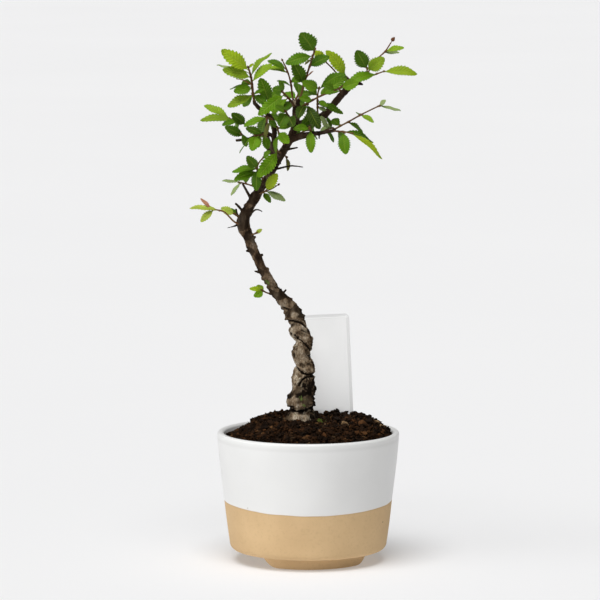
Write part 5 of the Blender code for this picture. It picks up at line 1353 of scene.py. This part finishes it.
def elm_bark():
    result, nodes, links, shader = finish("elm_bark", 0.85)
    grain = add_grain(nodes, links, 190.0, 1300.0, (1.0, 1.0, 0.45))
    streaks = add_grain(nodes, links, 420.0, 2600.0, (1.0, 1.0, 0.2))
    place = nodes.new("ShaderNodeTexCoord").outputs["Object"]
    parts = nodes.new("ShaderNodeSeparateXYZ")
    links.new(place, parts.inputs["Vector"])
    up = calculate(nodes, links, "MULTIPLY_ADD", grain.outputs["Patches"], 30.0 * MM, -15.0 * MM)
    up = ramp(nodes, links, calculate(nodes, links, "ADD", parts.outputs["Z"], up), 0.13, 0.19, smooth=True)
    pale = shades(nodes, links, grain.outputs["Patches"], (
        (0.0, (0.022, 0.013, 0.007)), (0.3, (0.088, 0.056, 0.031)), (0.6, (0.20, 0.145, 0.09)),
        (0.85, (0.32, 0.255, 0.175)), (1.0, (0.45, 0.38, 0.28))))
    dark = shades(nodes, links, grain.outputs["Patches"], (
        (0.0, (0.028, 0.015, 0.008)), (0.35, (0.088, 0.054, 0.030)), (0.65, (0.175, 0.120, 0.075)),
        (1.0, (0.27, 0.205, 0.145))))
    bark = blend(nodes, links, up, pale, dark)
    # Painted shade: the bark inside the crown is darkened for the shade of the leaves.
    painted_crown_shade = ramp(nodes, links, parts.outputs["Z"], 0.238, 0.262, 0.0, 0.7, smooth=True)
    bark = blend(nodes, links, painted_crown_shade, bark, (0.030, 0.014, 0.009))
    lined = ramp(nodes, links, streaks.outputs["Patches"], 0.0, 0.5, 0.5, 0.0)
    bark = blend(nodes, links, lined, bark, (0.026, 0.015, 0.008))
    pitted = ramp(nodes, links, grain.outputs["Grain"], 0.0, 0.45, 0.4, 0.0)
    bark = blend(nodes, links, pitted, bark, (0.02, 0.012, 0.007))
    fine = calculate(nodes, links, "MULTIPLY", streaks.outputs["Grain"], 0.45)
    broad = calculate(nodes, links, "MULTIPLY", grain.outputs["Patches"], 0.55)
    wood = shades(nodes, links, calculate(nodes, links, "ADD", fine, broad), (
        (0.1, (0.10, 0.062, 0.034)), (0.4, (0.235, 0.168, 0.106)), (0.6, (0.42, 0.345, 0.25)),
        (0.9, (0.80, 0.74, 0.63))))
    # Bare wood is paler, and so are the lips beside the scars, which are partly a painted highlight.
    bare_wood_and_highlight = ramp(nodes, links, read_tag(nodes, "bare_wood_and_highlight"), 0.2, 0.9, 0.0, 0.85, smooth=True)
    bark = blend(nodes, links, bare_wood_and_highlight, bark, wood)
    # Cracks, grooves and dark patches go nearly black: partly the bark's own dark and partly painted shade.
    cracks_and_shade_share = ramp(nodes, links, read_tag(nodes, "crack_and_shade_mark"), 0.2, 0.85, 0.0, 1.0, smooth=True)
    bark = blend(nodes, links, cracks_and_shade_share, bark, (0.0065, 0.0035, 0.0015))
    bloom = calculate(nodes, links, "MULTIPLY_ADD", streaks.outputs["Grain"], 0.9, -0.5)
    bloom = calculate(nodes, links, "ADD", read_tag(nodes, "moss"), bloom)
    bloom = ramp(nodes, links, bloom, 0.45, 0.85, smooth=True)
    green = blend(nodes, links, grain.outputs["Grain"], (0.035, 0.055, 0.012), (0.13, 0.17, 0.045))
    links.new(blend(nodes, links, bloom, bark, green), shader.inputs["Base Color"])
    links.new(ramp(nodes, links, grain.outputs["Grain"], 0.0, 1.0, 0.7, 0.95), shader.inputs["Roughness"])
    shader.inputs["Specular IOR Level"].default_value = 0.08
    relief(nodes, links, shader, (streaks.outputs["Patches"], 0.6, 0.35 * MM),
           (grain.outputs["Grain"], 0.7, 0.25 * MM), (streaks.outputs["Grain"], 0.4, 0.1 * MM))
    return result


trunk.data.materials.append(elm_bark())
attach(trunk, "root")
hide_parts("trunk")
print("trunk faces:", len(trunk.data.polygons))

# %% [markdown]
# ## A leaf with cut edges
# An elm leaf is a short oval with blunt teeth that point forwards, a pale midrib and straight side
# veins, each of which ends at a tooth. The master is a grid: three rows of points make one tooth, its
# notch, its back and its tip, and the first rows are the short stalk. Two masters with different
# numbers of teeth are enough, because every copy gets its own width, fold, arch and twist.

# %% Model the flat leaves
LEAF_COLUMNS = 8
STALK_SHARE = 0.08
BLADE_STARTS, BLADE_ENDS = 0.1, 0.95
TOOTH = ((0.0, 0.84), (0.45, 1.0), (0.88, 1.1))


def half_width(share):
    """Half the width of a blade at a share of its length: a wedge at the stalk, blunter at the tip."""
    return 0.5 * max(0.0, sin(pi * share ** 1.01)) ** (0.85 - 0.26 * share)


def leaf_rows(teeth):
    """Shares of the length, with the half width of the even blade and of its toothed edge."""
    rows = [(0.0, 0.0, 0.0), (0.5 * STALK_SHARE, 0.0, 0.0), (STALK_SHARE, 0.0, 0.0)]
    step = (BLADE_ENDS - BLADE_STARTS) / teeth
    stations = [(0.03, 0.95), (0.07, 0.99)]
    for tooth in range(teeth):
        start = BLADE_STARTS + step * tooth
        stations += [(start + share * step, cut) for share, cut in TOOTH]
    stations += [(0.955, 0.9), (0.982, 1.0), (0.997, 1.0)]
    for share, cut in stations:
        half = half_width(share)
        rows.append((STALK_SHARE + (1.0 - STALK_SHARE) * share, half, half * cut))
    return rows


def flat_leaf(name, teeth):
    """A grid with one row per station; its points are given their place by bend_leaf."""
    rows = leaf_rows(teeth)
    let_go()
    bpy.ops.mesh.primitive_grid_add(x_subdivisions=LEAF_COLUMNS, y_subdivisions=len(rows) - 1, size=1.0)
    leaf = bpy.context.object
    leaf.name = name
    points = corners(leaf)
    side = np.round((points[:, 0] + 0.5) * LEAF_COLUMNS).astype(int)
    row = np.round((points[:, 1] + 0.5) * (len(rows) - 1)).astype(int)
    table = np.array(rows)
    spread = side / LEAF_COLUMNS * 2.0 - 1.0
    at_edge = np.abs(spread) > 0.99
    half = np.where(at_edge, table[row, 2], table[row, 1] * 0.94)
    master = {"mesh": leaf.data, "share": table[row, 0], "side": spread, "half": half}
    loops = np.array([loop.vertex_index for loop in leaf.data.loops])
    flat = np.stack([0.5 + 0.5 * spread[loops], table[row, 0][loops]], axis=1)
    leaf.data.uv_layers[0].data.foreach_set("uv", flat.ravel())
    bpy.data.objects.remove(leaf)
    return master


MASTERS = {"large": flat_leaf("flat_leaf_large", 8), "small": flat_leaf("flat_leaf_small", 6)}
print({name: len(master["mesh"].polygons) for name, master in MASTERS.items()})

# %% [markdown]
# ## Bending a leaf into its place
# No two leaves on a plant lie alike. Each copy is spread along the line from its stem to its tip, folded
# up along the midrib, arched, twisted and waved at its edge. It faces the way that its turn says. A leaf
# with a grey tone shows its paler underside.

# %% Bend, thicken and colour a leaf
LEAF_THICKNESS = 0.26 * MM
STALK_HALF = 0.3 * MM
STEM_SLIMNESS = 0.82
BLADE_ARCH = 0.07
BROAD_SHOOTS, BROAD = ("back_shoot", "back_low"), 1.35


def leaf_frame(base, tip, turn):
    """The leaf's axis, the direction that its face looks in, and its direction across."""
    axis = (tip - base).normalized()
    facing = Vector((0.0, -1.0, 0.0))
    facing = (facing - axis * facing.dot(axis)).normalized()
    lifted = axis.cross(facing)
    if lifted.z < 0.0:
        lifted = -lifted
    normal = facing * cos(radians(turn)) + lifted * sin(radians(turn))
    return np.array(axis), np.array(normal), np.array(axis.cross(normal))


def bend_leaf(base, tip, turn, wide, tone, dice):
    """One leaf in its place, as an object with its own mesh."""
    length = (tip - base).length
    master = MASTERS["large" if length > 12.0 * MM else "small"]
    axis, normal, across = leaf_frame(base, tip, turn)
    shows_back = tone == GREY
    way = -1.0 if shows_back else 1.0
    share, side, half = master["share"], master["side"], master["half"]
    blade = np.clip((share - STALK_SHARE) / (1.0 - STALK_SHARE), 0.0, 1.0)
    out = np.where(share > STALK_SHARE * 1.01, side * half * wide * length, side * STALK_HALF)
    fold = dice.uniform(0.12, 0.34)
    twist = dice.uniform(-0.35, 0.35) * (share - 0.4)
    wave = dice.uniform(0.012, 0.03) * length
    wave = wave * np.sin(dice.uniform(9.0, 15.0) * share + dice.uniform(0.0, 6.0))
    rise = way * np.abs(out) * fold * np.sin(pi * blade ** 0.6) + out * twist + wave * side * side * blade
    rise += BLADE_ARCH * length * np.sin(pi * share)
    sway = dice.uniform(-0.035, 0.035) * length * np.sin(pi * share)
    rows = (np.array(base) + np.outer(share * length, axis) + np.outer(way * out + sway, across)
            + np.outer(rise, normal))
    mesh = master["mesh"].copy()
    mesh.vertices.foreach_set("co", rows.astype(np.float32).ravel())
    mesh.update()
    item = bpy.data.objects.new("leaf", mesh)
    bpy.context.collection.objects.link(item)
    light = dice.uniform(0.88, 1.12)
    warm = dice.uniform(0.95, 1.06)
    dye(item, "leaf_color", (tone[0] * light * warm, tone[1] * light, tone[2] * light))
    return item


# %% [markdown]
# ## Stems, buds and whole shoots
# A stem is a thin rod that swells a little wherever a leaf leaves it, and in each angle between leaf
# and stem sits a tiny bud, as on the stem's end. The leaves of a shoot are joined and given their
# thickness together, with a second material for their undersides. Then the stem is joined on, so that
# each shoot is one piece. The mark youth says how reddish its bark is.

# %% Grow the shoots
def bud_shape():
    """A pointed bud, one unit long, that stands on its base."""
    let_go()
    bpy.ops.mesh.primitive_uv_sphere_add(segments=7, ring_count=6, radius=0.5, location=(0.0, 0.0, 0.0))
    bud = bpy.context.object
    points = corners(bud)
    points[:, 2] += 0.5
    points[:, :2] *= (0.95 * (1.0 - 0.75 * points[:, 2] ** 2))[:, None]
    move_corners(bud, points)
    mesh = bud.data
    bpy.data.objects.remove(bud)
    return mesh


BUD = bud_shape()
REDDISH = {"left_young_shoot": 1.0, "right_top_shoot": 0.8, "crown_shoot": 0.5, "right_long_shoot": 0.4}
SIDE_BUDS, END_BUD, SWOLLEN_BUD = (1.3, 1.9), 1.8, 3.2


def lay_bud(spot, way, length):
    mesh = BUD.copy()
    turn = way.to_track_quat("Z", "X").to_matrix().to_4x4()
    mesh.transform(Matrix.Translation(spot) @ turn @ Matrix.Scale(length, 4))
    item = bpy.data.objects.new("bud", mesh)
    bpy.context.collection.objects.link(item)
    return item


def point_along(points, place):
    """The point at a fractional place in a list of points."""
    index = min(int(place), len(points) - 2)
    return points[index].lerp(points[index + 1], place - index)


def stem_rows(path, first, last, leaves):
    """Rows of x, y, z and radius down a stem, which swells at its leaves."""
    count = len(path) - 1
    knots = [(*point, first + (last - first) * number / count) for number, point in enumerate(path)]
    rows = smooth_line(knots, 5)
    for number, row in enumerate(rows):
        near = min((abs(number / 5 - leaf[0]) for leaf in leaves), default=9.0)
        row[3] *= MM * (1.0 + 0.38 * exp(-(near / 0.13) ** 2))
    rows[-1][3] *= 0.7
    rows[:, 3] *= STEM_SLIMNESS
    return rows


def grow_shoot(name, dice):
    """One leafy shoot as one piece."""
    collar, stems = SHOOTS[name]
    blades, green = [], []
    broad = BROAD if name.startswith(BROAD_SHOOTS) else 1.0
    for number, (points, first, last, leaves) in enumerate(stems):
        path = [placed(*point) for point in points]
        start = path[0]
        if number == 0:
            start = path[0] + (path[1] - path[0]).normalized() * (collar - 0.6) * MM
        rows = stem_rows(path, first, last, leaves)
        ahead = np.linalg.norm(rows[:, :3] - np.array(path[0]), axis=1) > (start - path[0]).length
        rows = np.vstack([(*start, first * MM), rows[ahead]])
        green.append(rod("stem", rows, 2))
        for place, x, height, depth, turn, wide, tone in leaves:
            base = point_along(path, place)
            tip = placed(x, height, base.y / MM + depth)
            blades.append(bend_leaf(base, tip, turn, wide * broad, tone, dice))
            above = point_along(path, min(place + 0.5, len(path) - 1))
            along = (above - point_along(path, place - 0.5)).normalized()
            between = (along + (tip - base).normalized()).normalized()
            green.append(lay_bud(base, between, dice.uniform(*SIDE_BUDS) * MM))
        swollen = name == "right_top_shoot" and number == len(stems) - 1
        end_bud = SWOLLEN_BUD if swollen else END_BUD
        green.append(lay_bud(path[-1], (path[-1] - path[-2]).normalized(), end_bud * MM))
    leaf = join(blades, "blades")
    leaf.data.materials.append(LEAF_TOP)
    leaf.data.materials.append(LEAF_UNDER)
    skin = leaf.modifiers.new("thickness", "SOLIDIFY")
    skin.thickness = LEAF_THICKNESS
    skin.offset = -1.0
    skin.material_offset = 1
    apply_all(leaf)
    stem = join(green, "stems")
    tag(stem, "youth", REDDISH.get(name, 0.15))
    stem.data.materials.append(STEM)
    title = name.replace("_shoot", "_leaves")
    shoot = settle(join([leaf, stem], title), title, 55)
    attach(shoot, "root")
    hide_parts(name)
    "young_leaves" if "young" in name or "bud" in name else "leaves"
    return shoot


# %% [markdown]
# ## The finish of leaves and stems
# Both faces of a leaf show the same veins, so the veins are a group. It reads the leaf's own UV map, in
# which one axis runs from edge to edge and the other from stalk to tip. It gives out the midrib, the
# side veins and the quilting between them. The top is deep green with a soft shine and the underside is
# paler and dull.

# %% Finish the leaves and the stems
def vein_group():
    tree = bpy.data.node_groups.new("leaf_veins", "ShaderNodeTree")
    tree.interface.new_socket("UV", in_out="INPUT", socket_type="NodeSocketVector")
    for title in ("Midrib", "Veins", "Quilt", "Rim"):
        tree.interface.new_socket(title, in_out="OUTPUT", socket_type="NodeSocketFloat")
    nodes, links = tree.nodes, tree.links
    entry, leave = nodes.new("NodeGroupInput"), nodes.new("NodeGroupOutput")
    parts = nodes.new("ShaderNodeSeparateXYZ")
    links.new(entry.outputs["UV"], parts.inputs["Vector"])
    signed = calculate(nodes, links, "MULTIPLY_ADD", parts.outputs["X"], 2.0, -1.0)
    out = calculate(nodes, links, "ABSOLUTE", signed)
    side = calculate(nodes, links, "GREATER_THAN", signed, 0.0)
    shifted = calculate(nodes, links, "MULTIPLY_ADD", side, 0.45, calculate(
        nodes, links, "MULTIPLY_ADD", parts.outputs["Y"], 10.5, calculate(
            nodes, links, "MULTIPLY", calculate(nodes, links, "POWER", out, 0.85), -1.75)))
    turnover = calculate(nodes, links, "FRACT", shifted)
    apart = calculate(nodes, links, "MINIMUM", turnover, calculate(nodes, links, "SUBTRACT", 1.0, turnover))
    fade = ramp(nodes, links, out, 0.8, 1.0, 1.0, 0.35)
    line = ramp(nodes, links, apart, 0.03, 0.13, 1.0, 0.0, smooth=True)
    links.new(calculate(nodes, links, "MULTIPLY", line, fade), leave.inputs["Veins"])
    links.new(ramp(nodes, links, apart, 0.0, 0.5, 0.0, 1.0, smooth=True), leave.inputs["Quilt"])
    links.new(ramp(nodes, links, out, 0.04, 0.115, 1.0, 0.0, smooth=True), leave.inputs["Midrib"])
    links.new(ramp(nodes, links, out, 0.9, 1.0, 0.0, 1.0, smooth=True), leave.inputs["Rim"])
    return tree


VEINS = vein_group()


def leaf_face(name, top):
    result, nodes, links, shader = finish(name, 0.45 if top else 0.7)
    grain = add_grain(nodes, links, 150.0, 2400.0)
    lines = nodes.new("ShaderNodeGroup")
    lines.node_tree = VEINS
    links.new(nodes.new("ShaderNodeUVMap").outputs["UV"], lines.inputs["UV"])
    own = read_tag(nodes, "leaf_color", "Color")
    shade = calculate(nodes, links, "MULTIPLY_ADD", grain.outputs["Patches"], 0.35, 0.1)
    color = blend(nodes, links, shade, own, (0.45, 0.52, 0.2), "MULTIPLY")
    if not top:
        color = blend(nodes, links, 0.62, own, (0.30, 0.37, 0.16))
    pale = blend(nodes, links, 0.45, color, (0.42, 0.52, 0.07))
    color = blend(nodes, links, calculate(nodes, links, "MULTIPLY", lines.outputs["Quilt"], 0.22), color,
                  blend(nodes, links, 1.0, color, (0.6, 0.68, 0.5), "MULTIPLY"))
    for part, strength in (("Veins", 0.26), ("Rim", 0.2), ("Midrib", 0.5)):
        shown = calculate(nodes, links, "MULTIPLY", lines.outputs[part], strength)
        color = blend(nodes, links, shown, color, pale)
    links.new(color, shader.inputs["Base Color"])
    low, high = (0.38, 0.58) if top else (0.62, 0.8)
    links.new(ramp(nodes, links, grain.outputs["Grain"], 0.0, 1.0, low, high), shader.inputs["Roughness"])
    shader.inputs["Specular IOR Level"].default_value = 0.26 if top else 0.14
    shader.inputs["Specular Tint"].default_value = (0.8, 1.0, 0.5, 1.0)
    shader.inputs["Subsurface Weight"].default_value = 0.15
    shader.inputs["Subsurface Radius"].default_value = (0.5, 1.0, 0.2)
    shader.inputs["Subsurface Scale"].default_value = 0.4 * MM
    height = calculate(nodes, links, "SUBTRACT", lines.outputs["Quilt"], lines.outputs["Midrib"])
    relief(nodes, links, shader, (height, 0.6 if top else -0.6, 0.3 * MM),
           (grain.outputs["Grain"], 0.25, 0.06 * MM))
    return result


def green_stem():
    result, nodes, links, shader = finish("young_stem", 0.6)
    grain = add_grain(nodes, links, 95.0, 1600.0)
    color = blend(nodes, links, grain.outputs["Patches"], (0.05, 0.018, 0.009), (0.12, 0.065, 0.02))
    flecks = ramp(nodes, links, grain.outputs["Grain"], 0.6, 1.0, 0.0, 0.45)
    color = blend(nodes, links, flecks, color, (0.22, 0.14, 0.06))
    young = blend(nodes, links, grain.outputs["Patches"], (0.15, 0.055, 0.025), (0.20, 0.13, 0.04))
    links.new(blend(nodes, links, read_tag(nodes, "youth"), color, young), shader.inputs["Base Color"])
    links.new(ramp(nodes, links, grain.outputs["Grain"], 0.0, 1.0, 0.5, 0.75), shader.inputs["Roughness"])
    shader.inputs["Specular IOR Level"].default_value = 0.12
    relief(nodes, links, shader, (grain.outputs["Grain"], 0.5, 0.1 * MM))
    return result


LEAF_TOP = leaf_face("elm_leaf_top", True)
LEAF_UNDER = leaf_face("elm_leaf_underside", False)
STEM = green_stem()
dice = random.Random(21)
shoots = [grow_shoot(name, dice) for name in SHOOTS]
leaf_count = sum(len(stem[3]) for collar, stems in SHOOTS.values() for stem in stems)
faces = sum(len(shoot.data.polygons) for shoot in shoots)
print("shoots:", len(shoots), " leaves:", leaf_count, " faces:", faces)

# %% [markdown]
# ## Floor, light and camera
# The photograph was taken in a plain studio: a pale floor that runs out of the frame, a large soft
# light from the left and the front, another from above, and some light from all round. The floor is
# faintly bright itself, for the light that comes back from the whole studio and softens the shadows.
# The camera is far away with a long lens, a little above the rim and looking down by 6.6 degrees.

# %% Set the stage
def pale_floor():
    result, nodes, links, shader = finish("pale_floor", 0.9)
    grain = add_grain(nodes, links, 1.5, 30.0)
    color = blend(nodes, links, grain.outputs["Patches"], (0.63, 0.63, 0.635), (0.64, 0.64, 0.645))
    links.new(color, shader.inputs["Base Color"])
    shader.inputs["Emission Color"].default_value = (1.0, 1.0, 1.0, 1.0)
    shader.inputs["Emission Strength"].default_value = 0.25
    shader.inputs["Specular IOR Level"].default_value = 0.1
    return result


let_go()
bpy.ops.mesh.primitive_plane_add(size=60.0, location=(0.0, 0.0, 0.0))
floor = bpy.context.object
floor.name = "floor"
floor.data.materials.append(pale_floor())

world = bpy.data.worlds.new("studio")
bpy.context.scene.world = world
world.use_nodes = True
world.node_tree.nodes["Background"].inputs["Color"].default_value = (1.0, 1.0, 1.0, 1.0)
world.node_tree.nodes["Background"].inputs["Strength"].default_value = 0.14


def aim(item, target):
    item.rotation_euler = (Vector(target) - item.location).to_track_quat("-Z", "Y").to_euler()


def add_sun(name, place, energy, spread):
    """A distant light that shines from a place towards the plant, softer the wider it is."""
    bpy.ops.object.light_add(type="SUN", location=place)
    sun = bpy.context.object
    sun.name = name
    sun.data.energy = energy
    sun.data.angle = radians(spread)
    aim(sun, (0.0, 0.0, 0.12))


add_sun("soft_window_left", (-1.5, -0.62, 0.21), 1.68, 44.0)
add_sun("soft_sky_above", (-0.24, -0.85, 2.1), 2.76, 42.0)

bpy.ops.object.camera_add(location=(-0.0022, -2.3891, 0.4345), rotation=(radians(83.4), 0.0, 0.0))
camera = bpy.context.object
camera.data.lens = 240.0
camera.data.sensor_width = 36.0
camera.data.clip_end = 200.0
bpy.context.scene.camera = camera
bpy.context.scene.view_settings.view_transform = "Standard"
